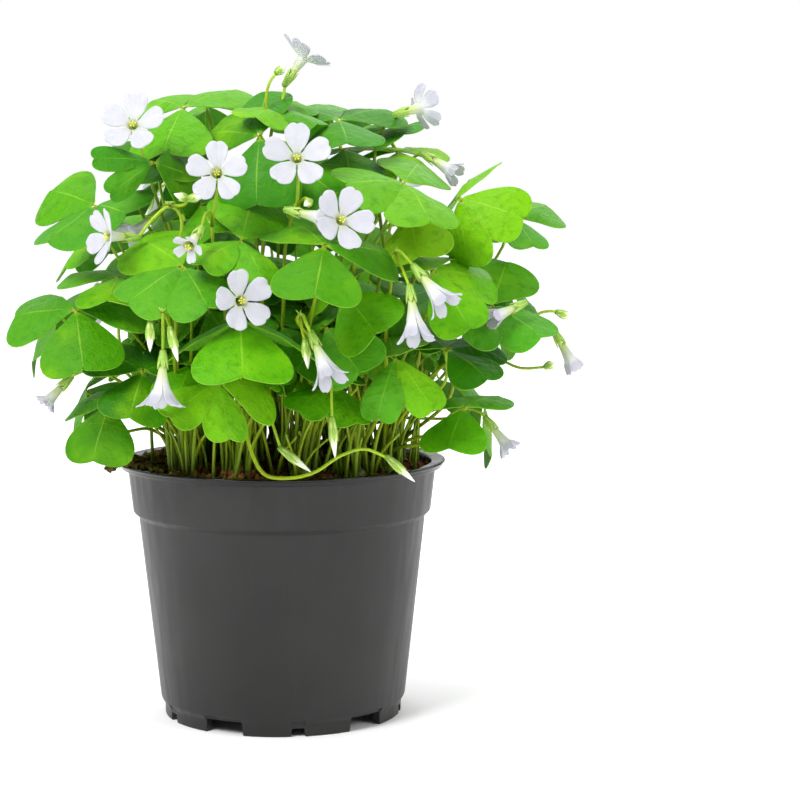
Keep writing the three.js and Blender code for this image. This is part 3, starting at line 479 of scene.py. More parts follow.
def grid_normals(grid):
    normals = np.cross(np.gradient(grid, axis=0), np.gradient(grid, axis=1))
    size = np.linalg.norm(normals, axis=2, keepdims=True)
    normals = normals / np.maximum(size, 1e-12)
    mean = unit(normals.reshape(-1, 3).sum(axis=0))
    flat = size[..., 0] < 1e-6
    normals[flat] = mean
    return normals


def add_sheet(pile, grid, thick, finishes, marks, tint=0.0):
    """Thin sheet with an upper and an under face round a grid of points, and a flat rim."""
    rows, columns = grid.shape[:2]
    normals = grid_normals(grid)
    size = rows * columns
    both = np.concatenate([grid + normals * thick / 2, grid - normals * thick / 2])
    base = pile.count
    upper = grid_faces(rows, columns)
    pile.add(both, upper, finishes[0], np.concatenate([marks, marks]), tint)
    pile.more(upper[:, ::-1] + size, finishes[1], True, base)
    index = np.arange(size).reshape(rows, columns)
    border = np.concatenate([index[0, :-1], index[:-1, -1], index[-1, :0:-1], index[:0:-1, 0]])
    after = np.roll(border, -1)
    rim = np.stack([border, after, after + size, border + size], axis=-1)
    pile.more(rim, finishes[1], False, base)


# %% [markdown]
# ## Smooth lines
# A stalk follows a smooth line through its drawn points. The line is a centripetal spline, the
# same kind that the solid stalks follow, because it neither loops nor overshoots where points
# stand close together. Points are then taken at even distances along it.

# %% Smooth lines
def spline(points, share):
    """Place at a share of the way through the points on a centripetal spline."""
    last = len(points) - 1
    at = last * share
    start = min(int(at), last - 1)
    weight = at - start
    p1 = points[start]
    p2 = points[start + 1]
    p0 = points[start - 1] if start > 0 else 2 * p1 - p2
    p3 = points[start + 2] if start + 2 <= last else 2 * p2 - p1
    d0, d1, d2 = (np.sqrt(np.linalg.norm(b - a)) for a, b in ((p0, p1), (p1, p2), (p2, p3)))
    d1 = d1 if d1 > 1e-4 else 1.0
    d0 = d0 if d0 > 1e-4 else d1
    d2 = d2 if d2 > 1e-4 else d1
    t1 = ((p1 - p0) / d0 - (p2 - p0) / (d0 + d1) + (p2 - p1) / d1) * d1
    t2 = ((p2 - p1) / d1 - (p3 - p1) / (d1 + d2) + (p3 - p2) / d2) * d1
    return (
        p1 + t1 * weight + (3 * (p2 - p1) - 2 * t1 - t2) * weight**2
        + (2 * (p1 - p2) + t1 + t2) * weight**3
    )


def even_line(points, steps):
    """Points at even distances along the spline through some points."""
    points = [np.asarray(p, dtype=float) for p in points]
    shares = np.linspace(0, 1, 121)
    places = np.array([spline(points, s) for s in shares])
    run = np.concatenate([[0], np.cumsum(np.linalg.norm(np.diff(places, axis=0), axis=1))])
    wanted = np.linspace(0, run[-1], steps + 1)
    return np.stack([np.interp(wanted, run, places[:, k]) for k in range(3)], axis=1)


def add_tube(pile, line, first, last, finish, tint=0.0, sides=8, bulge=0.0):
    """Round stalk along a line, from one radius to another, closed at both ends."""
    ahead = np.gradient(line, axis=0)
    ahead /= np.linalg.norm(ahead, axis=1, keepdims=True)
    side = np.cross(ahead[0], (0, 0, 1.0))
    if np.linalg.norm(side) < 0.1:
        side = np.cross(ahead[0], (0, 1.0, 0))
    rings = []
    count = len(line)
    for i, (place, way) in enumerate(zip(line, ahead)):
        side = unit(side - way * np.dot(side, way))
        other = np.cross(way, side)
        share = i / (count - 1)
        radius = first + (last - first) * share + bulge * math.exp(-((share - 1) / 0.06) ** 2)
        turn = np.linspace(0, 2 * np.pi, sides, endpoint=False)
        ring = np.outer(np.cos(turn), side) + np.outer(np.sin(turn), other)
        rings.append(place + ring * radius)
    around = np.tile(np.linspace(0, 1, sides, endpoint=False), count)
    along = np.repeat(np.linspace(0, 1, count), sides)
    points = np.vstack([np.array(rings).reshape(-1, 3), line[:1], line[-1:]])
    marks = np.vstack([np.stack([around, along], axis=1), [[0, 0], [0, 1]]])
    base = pile.count
    walls = grid_faces(count, sides, closed=True)[:, ::-1]
    pile.add(points, walls, finish, marks, tint)
    centre = count * sides
    turn = [(k, (k + 1) % sides) for k in range(sides)]
    far = (count - 1) * sides
    caps = [(centre, b, a) for a, b in turn] + [(centre + 1, far + a, far + b) for a, b in turn]
    pile.more(caps, finish, False, base)


# %% [markdown]
# ## Turned forms
# Buds and crowns are round about an axis, but nothing on a plant is turned on a lathe. The helper
# takes a profile of radius and height and a shaping function, so that ridges and lumps are in
# the form and not only in the finish.

# %% Turned forms
def basis(axis, rise=None):
    """Two directions square to an axis, the first as near as it can be to rise."""
    rise = np.array((0, 0, 1.0)) if rise is None else rise
    up = rise - axis * np.dot(rise, axis)
    if np.linalg.norm(up) < 0.2:
        up = np.array((0, 1.0, 0)) - axis * axis[1]
    up = unit(up)
    return up, np.cross(axis, up)


def add_turned(pile, profile, foot, axis, finish, sides=14, shape=None, tint=0.0):
    profile = np.asarray(profile, dtype=float)
    up, side = basis(axis)
    turn = np.linspace(0, 2 * np.pi, sides, endpoint=False)
    radius = np.repeat(profile[:, :1], sides, axis=1)
    height = np.repeat(profile[:, 1:], sides, axis=1)
    if shape is not None:
        radius, height = shape(radius, height, turn[None, :])
    out = np.outer(np.cos(turn), up) + np.outer(np.sin(turn), side)
    points = foot + out[None] * radius[..., None] + axis * height[..., None]
    count = len(profile)
    around = np.tile(np.linspace(0, 1, sides, endpoint=False), (count, 1))
    low, high = profile[0, 1], profile[-1, 1]
    along = (height - low) / (high - low)
    ends = np.array([foot + axis * height[0].mean(), foot + axis * height[-1].mean()])
    marks = np.vstack([np.stack([around, along], axis=-1).reshape(-1, 2), [[0, 0], [0, 1]]])
    base = pile.count
    walls = grid_faces(count, sides, closed=True)[:, ::-1]
    pile.add(np.vstack([points.reshape(-1, 3), ends]), walls, finish, marks, tint)
    centre = count * sides
    far = (count - 1) * sides
    pairs = [(k, (k + 1) % sides) for k in range(sides)]
    caps = [(centre, b, a) for a, b in pairs] + [(centre + 1, far + a, far + b) for a, b in pairs]
    pile.more(caps, finish, True, base)


# %% [markdown]
# ## Pot finish
# The pot is thin pressed plastic, near black with a satin face. Real ones are never even: the gloss changes in soft
# clouds, dust sits in fine upright streaks, and the lip is made glossier by handling. The lip's top is also painted
# near black, a painted dark reflection of the surroundings in that gloss. The sharp edges, the ledge's among them,
# are painted paler as a painted highlight. The colour stays close to one tone and the roughness does the work.

# %% Pot finish
plastic = Finish("pot_plastic", Roughness=0.42)
plastic.shader.inputs["Specular IOR Level"].default_value = 0.38
place = plastic.node("TexCoord").outputs["Object"]
stretched = plastic.node("Mapping", {"Vector": place, "Scale": (260.0, 260.0, 14.0)}).outputs[0]
streaks = plastic.noise(1.0, 3, 0.6, stretched)
clouds = plastic.noise(22, 3, 0.55)
pores = plastic.noise(2600, 2, 0.6)
black = plastic.mix(plastic.range(clouds, 0.3, 0.7), colour(24, 24, 23), colour(32, 32, 31))
black = plastic.mix(plastic.range(streaks, 0.5, 0.8, 0.0, 0.28), black, colour(46, 45, 43))
# Sharp convex edges, the ledge's among them, are painted paler: a painted highlight.
edge = plastic.node("NewGeometry").outputs["Pointiness"]
black = plastic.mix(plastic.range(edge, 0.52, 0.6, 0.0, 0.5), black, colour(72, 72, 70))
height = plastic.node("SeparateXYZ", {0: place}).outputs[2]
# The top few millimetres, the lip: less rough from handling, and painted near black as a painted dark reflection.
polish_and_painted_reflection = plastic.range(height, POT["height"] / 1000 - 0.004, POT["height"] / 1000 - 0.003)
black = plastic.mix(polish_and_painted_reflection, black, colour(8, 8, 8))
plastic.feed("Base Color", black)
satin = plastic.range(streaks, 0.3, 0.75, 0.36, 0.5)
plastic.feed("Roughness", plastic.maths("SUBTRACT", satin, plastic.maths("MULTIPLY", polish_and_painted_reflection, 0.2)))
plastic.bump(pores, 0.12, 0.0001)
POT_PLASTIC = plastic.material


# %% [markdown]
# ## Pot
# The pot is a straight wall with a deep stepped band and a rolled lip on it. It could be a turned
# profile with the feet cut out by booleans, but cuts leave ragged shading. Here the rows of the
# profile near the floor are squeezed upwards wherever a gap or a drain slot comes, so five feet
# with soft corners appear in one clean skin.

# %% Pot
def rounded(profile, sizes, steps=4):
    """Profile with its corners rounded; sizes says how far back each one starts."""
    out = [profile[0]]
    for before, corner, after, size in zip(profile, profile[1:], profile[2:], sizes):
        before, corner, after = (np.array(p, dtype=float) for p in (before, corner, after))
        reach = min(size, np.linalg.norm(before - corner) * 0.45, np.linalg.norm(after - corner) * 0.45)
        start = corner + unit(before - corner) * reach
        end = corner + unit(after - corner) * reach
        for share in np.linspace(0, 1, steps + 1):
            a = start + (corner - start) * share
            b = corner + (end - corner) * share
            out.append(tuple(a + (b - a) * share))
    out.append(profile[-1])
    return out


def foot_floor(angle):
    """Height of the pot's lowest edge at an angle in degrees: feet, gaps and drain slots."""
    pitch = 360 / FEET["count"]
    off = (angle - FEET["first"] + pitch / 2) % pitch - pitch / 2
    arc = math.radians(1) * POT["foot_radius"]
    past_gap = (abs(off) - (pitch - FEET["gap"]) / 2) * arc
    past_slot = (FEET["slot"] / 2 - abs(off) * arc)
    soft = 0.55

    def step(distance):
        share = min(1.0, max(0.0, distance / soft + 0.5))
        return share * share * (3 - 2 * share)

    return max(FEET["gap_height"] * step(past_gap), FEET["slot_height"] * step(past_slot))


def pot_angles():
    """Angles round the pot, even and then closer together where the feet begin and end."""
    pitch = 360 / FEET["count"]
    arc = math.radians(1) * POT["foot_radius"]
    edges = []
    for i in range(FEET["count"]):
        middle = FEET["first"] + i * pitch
        for off in ((pitch - FEET["gap"]) / 2, FEET["slot"] / 2 / arc):
            edges += [middle - off, middle + off]
    near = [edge + shift / arc for edge in edges for shift in (-0.5, -0.3, -0.15, 0, 0.15, 0.3, 0.5)]
    even = [a for a in np.arange(0, 360, 2.0) if min(abs((a - n + 180) % 360 - 180) for n in near) > 0.7]
    return np.array(sorted(a % 360 for a in even + near))


p = POT
outside = [
    (0, p["foot_height"]),
    (p["foot_radius"] - p["foot_width"], p["foot_height"]),
    (p["foot_radius"] - p["foot_width"], 0),
    (p["foot_radius"], 0),
    (p["foot_radius"], p["foot_height"] - 2.4),
    (p["wall_bottom"], p["foot_height"]),
    (p["wall_top"], p["ledge"]),
    (p["band_bottom"], p["band_foot"]),
    (p["band_top"], p["height"] - p["lip_height"]),
    (p["lip_radius"] - 1.1, p["height"] - p["lip_height"] + 0.2),
    (p["lip_radius"] - 0.7, p["height"] - 1.3),
    (p["lip_radius"], p["height"] - 1.1),
    (p["lip_radius"], p["height"] - 0.3),
    (p["lip_radius"] - 1.6, p["height"]),
    (p["lip_radius"] - 2.6, p["height"] - 0.5),
    (p["band_top"] - p["wall"] + 0.3, p["height"] - 0.7),
    (p["band_top"] - p["wall"] - 0.1, p["height"] - 3),
    (p["band_bottom"] - p["wall"], p["band_foot"] + 1),
    (p["wall_top"] - p["wall"], p["ledge"]),
    (p["wall_bottom"] - p["wall"], p["foot_height"] + p["wall"]),
    (0, p["foot_height"] + p["wall"]),
]
corner_sizes = [1, 0.6, 0.7, 2, 1.2, 0.4, 0.4, 0.5, 0.4, 0.3, 0.3, 0.4, 0.6, 0.5, 0.6, 1, 1, 1, 2]
profile = rounded(outside, corner_sizes)
tall = []
for (r0, z0), (r1, z1) in zip(profile, profile[1:]):
    pieces = 6 if abs(z1 - z0) > 30 else 3 if abs(z1 - z0) > 8 else 1
    tall += [(r0 + (r1 - r0) * k / pieces, z0 + (z1 - z0) * k / pieces) for k in range(pieces)]
tall.append(profile[-1])
tall = [(max(r, 0.01), z) for r, z in tall]

angles = pot_angles()
floors = np.array([foot_floor(a) for a in angles])
pot_points = []
for radius, height in tall:
    top = p["foot_height"]
    squeezed = radius > p["foot_radius"] - p["foot_width"] - 0.7 and height < top
    heights = floors + (top - floors) * height / top if squeezed else np.full(len(angles), height)
    turn = np.radians(angles)
    pot_points.append(np.stack([radius * np.cos(turn), radius * np.sin(turn), heights], axis=1))
pot_points = np.array(pot_points)
pot_pile = Pile([POT_PLASTIC])
marks = np.stack(np.broadcast_arrays(angles[None, :] / 360, np.linspace(0, 1, len(tall))[:, None]), axis=-1)
pot_pile.add(pot_points, grid_faces(len(tall), len(angles), closed=True)[:, ::-1], POT_PLASTIC, marks)

# %% Pockets behind the feet
for i in range(FEET["count"]):
    middle = FEET["first"] + i * 360 / FEET["count"]
    half = (360 / FEET["count"] - FEET["gap"]) / 2 - 1.2
    ring = p["foot_radius"] - p["foot_width"] + 1
    turns = np.radians(np.linspace(middle - half, middle + half, 15))
    path = [(reach, turns[0]) for reach in (ring, ring - POCKET["deep"] / 2)]
    path += [(ring - POCKET["deep"], turn) for turn in turns]
    path += [(reach, turns[-1]) for reach in (ring - POCKET["deep"] / 2, ring)]
    line = np.array([(reach * math.cos(turn), reach * math.sin(turn)) for reach, turn in path])
    way = np.gradient(line, axis=0)
    way = way / np.linalg.norm(way, axis=1)[:, None]
    beside = np.stack([-way[:, 1], way[:, 0]], axis=1) * POCKET["wall"] / 2
    low, high = POCKET["clear"], p["foot_height"] + 0.5
    sections = [(line + beside, low), (line + beside, high), (line - beside, high), (line - beside, low)]
    wall = np.array([np.column_stack([flat, np.full(len(flat), z)]) for flat, z in sections]).transpose(1, 0, 2)
    last = wall.shape[0] * 4 - 4
    ends = np.array([[0, 1, 2, 3], [last + 3, last + 2, last + 1, last]])
    faces = np.vstack([grid_faces(len(wall), 4, closed=True), ends])
    pot_pile.add(wall, faces, POT_PLASTIC, np.zeros((len(wall), 4, 2)), smooth=False)
pot = pot_pile.to_piece("nursery_pot")

# %% Drain holes in the pot's floor
shell = bmesh.new()
shell.from_mesh(pot.data)
bmesh.ops.remove_doubles(shell, verts=shell.verts, dist=3e-5)
bmesh.ops.recalc_face_normals(shell, faces=shell.faces)
shell.to_mesh(pot.data)
shell.free()
drills = bmesh.new()
for i in range(FEET["count"]):
    turn = math.radians(FEET["first"] + (i + 0.5) * 360 / FEET["count"])
    place = to_frame((DRAIN["reach"] * math.cos(turn), DRAIN["reach"] * math.sin(turn), POT["foot_height"]))
    bmesh.ops.create_cone(
        drills, cap_ends=True, segments=32, radius1=DRAIN["radius"] / 1000, radius2=DRAIN["radius"] / 1000,
        depth=0.008, matrix=Matrix.Translation(place),
    )
drill_mesh = bpy.data.meshes.new("drills")
drills.to_mesh(drill_mesh)
drills.free()
drill = bpy.data.objects.new("drills", drill_mesh)
scene.collection.objects.link(drill)
cut = pot.modifiers.new("drain_holes", "BOOLEAN")
cut.object = drill
cut.operation = "DIFFERENCE"
cut.solver = "EXACT"
bpy.context.view_layer.update()
drilled = bpy.data.meshes.new_from_object(pot.evaluated_get(bpy.context.evaluated_depsgraph_get()))
pot.modifiers.clear()
pot.data = drilled
drilled.set_sharp_from_angle(angle=math.radians(50))
bpy.data.objects.remove(drill)
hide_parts("pot")
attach(pot, "root")
print("pot:", len(pot.data.polygons), "faces,", len(angles), "angles")

# %% [markdown]
# ## Soil finish
# Potting soil is a dark red-brown crumb with black peat, paler splinters and a few damp greenish patches near the
# rim. Two sizes of noise mix the browns. The crumbs themselves are geometry, so the finish only breaks up their
# colour.

# %% Soil finish
def soil_finish(name, dark, middle, pale):
    finish = Finish(name, Roughness=0.95)
    finish.shader.inputs["Specular IOR Level"].default_value = 0.15
    coarse = finish.noise(260, 4, 0.65)
    fine = finish.noise(1300, 4, 0.7)
    brown = finish.mix(finish.range(coarse, 0.35, 0.62), dark, middle)
    brown = finish.mix(finish.range(fine, 0.56, 0.72), brown, pale)
    brown = finish.mix(finish.maths("MULTIPLY", finish.tint(), 0.6), brown, pale)
    place = finish.node("TexCoord").outputs["Object"]
    flat = finish.node("VectorMath", {0: place, 1: (1.0, 1.0, 0.0)}, operation="MULTIPLY").outputs[0]
    reach = finish.node("VectorMath", {0: flat}, operation="LENGTH").outputs["Value"]
    damp = finish.maths("MULTIPLY", finish.range(reach, 0.054, 0.059), finish.range(coarse, 0.4, 0.55))
    brown = finish.mix(finish.maths("MULTIPLY", damp, 0.6), brown, colour(72, 92, 26))
    finish.feed("Base Color", brown)
    finish.bump(fine, 0.9, 0.0008)
    return finish.material


PEAT = soil_finish("peat", colour(30, 18, 9), colour(92, 58, 28), colour(172, 118, 66))
FIBRE = soil_finish("bark_fibre", colour(58, 34, 18), colour(112, 70, 38), colour(176, 124, 76))


# %% [markdown]
# ## Soil
# The soil fills the pot and is mounded in the middle where the crowns push it up. The bed is one
# skin with rough ground worked into it, and loose crumbs and bark fibres lie on it. They are
# placed with a seeded draw, so every run gives the same soil.

# %% Soil
def soil_top(x, y):
    r = math.hypot(x, y)
    rim = POT["band_top"] - POT["wall"]
    crown_share = 1 - (r / rim) ** 2
    lumps = math.sin(x * 0.23 + 1) * math.cos(y * 0.19 - 0.5) + 0.6 * math.sin(x * 0.11 - y * 0.31)
    return SOIL["edge"] + SOIL["mound"] * crown_share + SOIL["lumps"] * lumps * min(1, crown_share * 4)


def rough_ground(x, y):
    """Height of the worked soil: the bed, with crumbs of two sizes on it."""
    place = Vector((x * 0.16, y * 0.16, 3.7))
    fine = Vector((x * 0.55, y * 0.55, 9.1))
    return soil_top(x, y) + 1.3 * noise.noise(place) + 0.9 * abs(noise.noise(fine)) + 0.35


RIM_INSIDE = POT["band_top"] - POT["wall"] - 0.45
rings = np.concatenate([np.linspace(0.02, RIM_INSIDE - 0.4, 64), [RIM_INSIDE]])
turns = np.linspace(0, 2 * np.pi, 200, endpoint=False)
bed = [[(r * math.cos(t), r * math.sin(t), rough_ground(r * math.cos(t), r * math.sin(t)))
        for t in turns] for r in rings]
skirt = [(POT["band_bottom"] - POT["wall"] - 0.4, POT["band_foot"] + 1),
         (POT["wall_top"] - POT["wall"] - 0.4, POT["ledge"] - 0.3),
         (POT["wall_bottom"] - POT["wall"] - 0.4, POT["foot_height"] + POT["wall"] + 0.4),
         (0.02, POT["foot_height"] + POT["wall"] + 0.4)]
bed += [[(r * math.cos(t), r * math.sin(t), z) for t in turns] for r, z in skirt]
bed = np.array(bed)
soil_pile = Pile([PEAT, FIBRE])
soil_pile.add(bed, grid_faces(len(bed), len(turns), closed=True), PEAT, np.zeros((bed.shape[0], len(turns), 2)))

ICO_RATIO = (1 + 5**0.5) / 2
ICO_POINTS = np.array([(s * a, t * b, 0.0) for a, b in ((1, ICO_RATIO),) for s in (-1, 1) for t in (-1, 1)])
ICO_POINTS = np.vstack([ICO_POINTS, ICO_POINTS[:, [2, 0, 1]], ICO_POINTS[:, [1, 2, 0]]])


def hull_faces(points):
    """Outward triangles of a small round solid: each takes three neighbours."""
    near = min(np.linalg.norm(points[0] - q) for q in points[1:]) * 1.01
    faces = []
    for a in range(len(points)):
        for b in range(a + 1, len(points)):
            for c in range(b + 1, len(points)):
                sides = [np.linalg.norm(points[i] - points[j]) for i, j in ((a, b), (b, c), (a, c))]
                if max(sides) <= near:
                    out = np.dot(np.cross(points[b] - points[a], points[c] - points[a]), points[a])
                    faces.append((a, b, c) if out > 0 else (a, c, b))
    return faces


ICO_FACES = hull_faces(ICO_POINTS)
CRUMBS = {"count": 1300, "small": 0.4, "large": 1.4, "seed": 5}
crumb_draw = random.Random(CRUMBS["seed"])


def add_crumb(pile, x, y, z, size, draw, tint):
    stretch = np.array([draw.uniform(0.6, 1.3) for _ in range(3)])
    lumps = np.array([draw.uniform(0.7, 1.15) for _ in ICO_POINTS])[:, None]
    angle = draw.uniform(0, 2 * math.pi)
    spin = np.array([[math.cos(angle), -math.sin(angle), 0], [math.sin(angle), math.cos(angle), 0], [0, 0, 1]])
    points = (ICO_POINTS / 1.9 * lumps * stretch * size) @ spin.T + (x, y, z)
    pile.add(points, ICO_FACES, PEAT, np.zeros((len(points), 2)), tint, smooth=False)


for _ in range(CRUMBS["count"]):
    r = (RIM_INSIDE - 1.2) * math.sqrt(crumb_draw.random())
    t = crumb_draw.uniform(0, 2 * math.pi)
    size = crumb_draw.uniform(CRUMBS["small"], CRUMBS["large"]) * crumb_draw.uniform(0.6, 1)
    x, y = r * math.cos(t), r * math.sin(t)
    add_crumb(soil_pile, x, y, rough_ground(x, y) + size * 0.2, size, crumb_draw, crumb_draw.random() ** 3)

HEAP = {"count": 420, "middle": 208, "spread": 75, "rise": 3.2}
for _ in range(HEAP["count"]):
    off = crumb_draw.gauss(0, HEAP["spread"] / 2)
    t = math.radians(HEAP["middle"] + off)
    r = RIM_INSIDE - 0.8 - abs(crumb_draw.gauss(0, 5))
    size = crumb_draw.uniform(0.5, 1.7)
    x, y = r * math.cos(t), r * math.sin(t)
    rise = HEAP["rise"] * math.exp(-((off / HEAP["spread"]) ** 2)) * crumb_draw.random()
    add_crumb(soil_pile, x, y, rough_ground(x, y) + rise, size, crumb_draw, crumb_draw.random())

# %% Bark fibres and spilt crumbs
FIBRES = {"count": 110, "shortest": 3, "longest": 10}
for _ in range(FIBRES["count"]):
    r = (RIM_INSIDE - 3) * math.sqrt(crumb_draw.random())
    t = crumb_draw.uniform(0, 2 * math.pi)
    way = crumb_draw.uniform(0, 2 * math.pi)
    half = crumb_draw.uniform(FIBRES["shortest"], FIBRES["longest"]) / 2
    line = []
    for share in np.linspace(-1, 1, 5):
        x = r * math.cos(t) + math.cos(way) * half * share
        y = r * math.sin(t) + math.sin(way) * half * share
        inside = min(1, (RIM_INSIDE - 1) / math.hypot(x, y))
        x, y = x * inside, y * inside
        line.append((x, y, rough_ground(x, y) + 0.5 + crumb_draw.uniform(0, 1.1) * abs(share)))
    thick = crumb_draw.uniform(0.14, 0.4)
    add_tube(soil_pile, even_line(line, 6), thick, thick * 0.5, FIBRE, crumb_draw.random() * 0.5, sides=5)

SPILL = {"count": 90, "middle": 205, "spread": 20}
for _ in range(SPILL["count"]):
    t = math.radians(crumb_draw.gauss(SPILL["middle"], SPILL["spread"] / 2))
    r = crumb_draw.uniform(RIM_INSIDE - 3, POT["lip_radius"] - 0.8)
    size = crumb_draw.uniform(0.5, 1.9) * (1 if r < POT["lip_radius"] - 2 else 0.7)
    rest = POT["height"] + size * 0.28
    add_crumb(soil_pile, r * math.cos(t), r * math.sin(t), rest, size, crumb_draw, crumb_draw.random() ** 2)
for _ in range(26):
    t = math.radians(crumb_draw.gauss(SPILL["middle"] - 8, SPILL["spread"] / 4))
    r = crumb_draw.uniform(RIM_INSIDE - 4, RIM_INSIDE)
    over = crumb_draw.uniform(4, 10)
    line = []
    for share in (0, 0.35, 0.7, 1):
        reach = r + over * share
        swing = t + share * crumb_draw.uniform(-0.08, 0.08)
        rise = POT["height"] + 0.8 + 1.6 * math.sin(share * 3) - max(0, reach - POT["lip_radius"]) * 0.7
        line.append((reach * math.cos(swing), reach * math.sin(swing), rise + crumb_draw.uniform(-0.4, 0.6)))
    thick = crumb_draw.uniform(0.25, 0.6)
    add_tube(soil_pile, even_line(line, 7), thick, thick * 0.4, FIBRE, crumb_draw.random() * 0.4, sides=5)
OVERHANG = {"count": 110, "middle": 192, "spread": 5.5, "past": 4.5}
for _ in range(OVERHANG["count"]):
    t = math.radians(crumb_draw.gauss(OVERHANG["middle"], OVERHANG["spread"]))
    r = POT["lip_radius"] + crumb_draw.uniform(-4, OVERHANG["past"])
    past = max(0, r - POT["lip_radius"])
    z = POT["height"] + crumb_draw.uniform(-0.2, 1.8) - past * crumb_draw.uniform(0.2, 0.8)
    size = crumb_draw.uniform(0.8, 2.1) * (1 - 0.08 * past)
    add_crumb(soil_pile, r * math.cos(t), r * math.sin(t), z, size, crumb_draw, crumb_draw.random() ** 3)
soil = soil_pile.to_piece("soil_bed")
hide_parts("soil")
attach(soil, "root")
print("soil:", len(soil.data.polygons), "faces, top", round(float(bed[:, :, 2].max()), 1), "mm")

# %% [markdown]
# ## Leaves: where they stand
# Every leaf of the front is placed one by one: its hub and the tips of its three leaflets as columns and rows of the
# view, the hub's depth, and whether each tip comes nearer (-1) or goes back (+1).
# A bunch is the leaves and flower stalks that share one crown in the soil.

# %% Leaf places
FRONT_BUNCHES = {
    "left": ((-40, -18), [
        ((96, 206), -42, 24, ((52, 190, 1), (50, 241, -1), (124, 212, -1))),
        ((76, 310), -62, 25, ((17, 316, 1), (83, 366, -1), (138, 303, 1))),
        ((110, 403), -46, 23, ((78, 401, 1), (93, 458, -1), (140, 385, 1))),
        ((118, 277), -48, 21, ((74, 272, 1), (108, 300, -1), (146, 264, 1))),
    ]),
    "left_front": ((-34, -38), [
        ((184, 267), -84, 24, ((143, 240, 1), (130, 300, -1), (207, 305, -1))),
        ((143, 372), -60, 21, ((103, 352, 1), (130, 415, -1), (183, 360, 1))),
        ((190, 365), -54, 19, ((162, 352, 1), (180, 393, -1), (218, 352, 1))),
    ]),
    "upper_left": ((-27, -10), [
        ((183, 108), -28, 27, ((152, 101, 1), (164, 150, -1), (236, 90, 1))),
        ((153, 162), -60, 24, ((97, 158, -1), (112, 192, -1), (200, 182, 1))),
        ((158, 150), -36, 22, ((122, 143, 1), (165, 175, -1), (200, 142, 1))),
        ((200, 206), -46, 22, ((160, 212, 1), (215, 232, -1), (220, 186, 1))),
    ]),
    "front": ((-14, -46), [
        ((240, 320), -86, 29, ((183, 346, 1), (243, 374, -1), (298, 343, 1))),
        ((217, 382), -80, 23, ((172, 416, -1), (229, 437, -1), (270, 393, 1))),
    ]),
    "upper_front": ((-10, -26), [
        ((260, 136), -55, 26, ((210, 132, 1), (256, 201, -1), (266, 94, 1))),
        ((241, 241), -76, 25, ((203, 262, -1), (262, 277, -1), (252, 200, 1))),
        ((276, 108), -40, 18, ((296, 102, 1), (316, 122, -1), (256, 116, -1))),
        ((228, 232), -44, 22, ((196, 246, -1), (245, 255, -1), (215, 215, 1))),
    ]),
    "front_right": ((10, -44), [
        ((324, 246), -88, 26, ((297, 224, 1), (315, 295, -1), (386, 253, 1))),
        ((343, 291), -72, 23, ((312, 304, 1), (375, 332, -1), (350, 270, 1))),
        ((325, 327), -68, 22, ((292, 342, 1), (358, 370, -1), (330, 310, 1))),
        ((332, 384), -60, 20, ((300, 408, -1), (356, 420, -1), (336, 366, 1))),
        ((294, 372), -46, 16, ((284, 392, -1), (306, 391, -1), (294, 356, 1))),
    ]),
    "upper_right": ((12, -20), [
        ((339, 121), -34, 24, ((300, 108, 1), (386, 108, 1), (347, 140, -1))),
        ((345, 150), -32, 22, ((312, 155, 1), (372, 148, 1), (350, 172, -1))),
        ((298, 166), -44, 22, ((332, 192, -1), (284, 157, 1), (318, 142, 1))),
        ((398, 152), -22, 18, ((376, 148, 1), (400, 172, -1), (437, 149, 1))),
        ((384, 130), -12, 18, ((402, 132, -1), (362, 128, 1), (390, 114, 1))),
    ]),
    "right_front": ((30, -38), [
        ((404, 183), -64, 24, ((348, 184, -1), (430, 219, -1), (420, 162, 1))),
        ((395, 358), -72, 24, ((378, 416, -1), (432, 407, -1), (388, 335, 1))),
    ]),
    "right": ((42, -22), [
        ((459, 198), -52, 25, ((470, 181, 1), (520, 216, -1), (470, 264, -1))),
        ((432, 271), -68, 25, ((490, 280, 1), (468, 326, -1), (412, 256, 1))),
        ((447, 350), -58, 21, ((486, 376, -1), (495, 346, 1), (420, 332, 1))),
        ((464, 408), -54, 21, ((449, 447, -1), (498, 396, 1), (440, 398, 1))),
        ((410, 212), -50, 22, ((385, 226, 1), (418, 255, -1), (436, 208, 1))),
        ((418, 330), -28, 22, ((392, 345, -1), (442, 345, -1), (415, 300, 1))),
    ]),
    "far_right": ((46, 2), [
        ((510, 216), -14, 22, ((546, 205, 1), (533, 244, -1), (480, 232, -1))),
        ((492, 306), -44, 24, ((506, 263, 1), (540, 334, -1), (462, 330, -1))),
        ((508, 292), -16, 21, ((534, 308, 1), (500, 330, -1), (490, 270, 1))),
    ]),
}

# %% [markdown]
# ## Leaves round the back
# The photograph says nothing of the back, so it is filled by rule: five crowns, each with rows
# of leaves that look outwards and hang their tips back a little, and turn by a seeded draw. The
# draw is the simple one that the solids use, because it has to give the same list of numbers.

# %% Back leaves
HEART = vec(0, 0, 110)
BACK = {"sectors": 5, "first": 20, "last": 171, "crown": 30, "stagger": (9, 4), "droop": 0.36, "seed": 41}
BACK_ROWS = [
    {"height": 134, "reach": 80, "lean": 25, "size": 24, "swing": -4},
    {"height": 172, "reach": 88, "lean": 42, "size": 25, "swing": 3},
    {"height": 206, "reach": 70, "lean": 58, "size": 25, "swing": 3},
    {"height": 158, "reach": 54, "lean": 55, "size": 20, "swing": 8},
    {"height": 232, "reach": 46, "lean": 72, "size": 24, "swing": 4, "sectors": (2, 4)},
    {"height": 234, "reach": 6, "lean": 86, "size": 22, "swing": 0, "sectors": (3,)},
]


def draws(seed):
    """The same list of numbers between 0 and 1 on every run."""
    state = seed
    while True:
        state = (state * 16807) % 2147483647
        yield state / 2147483647


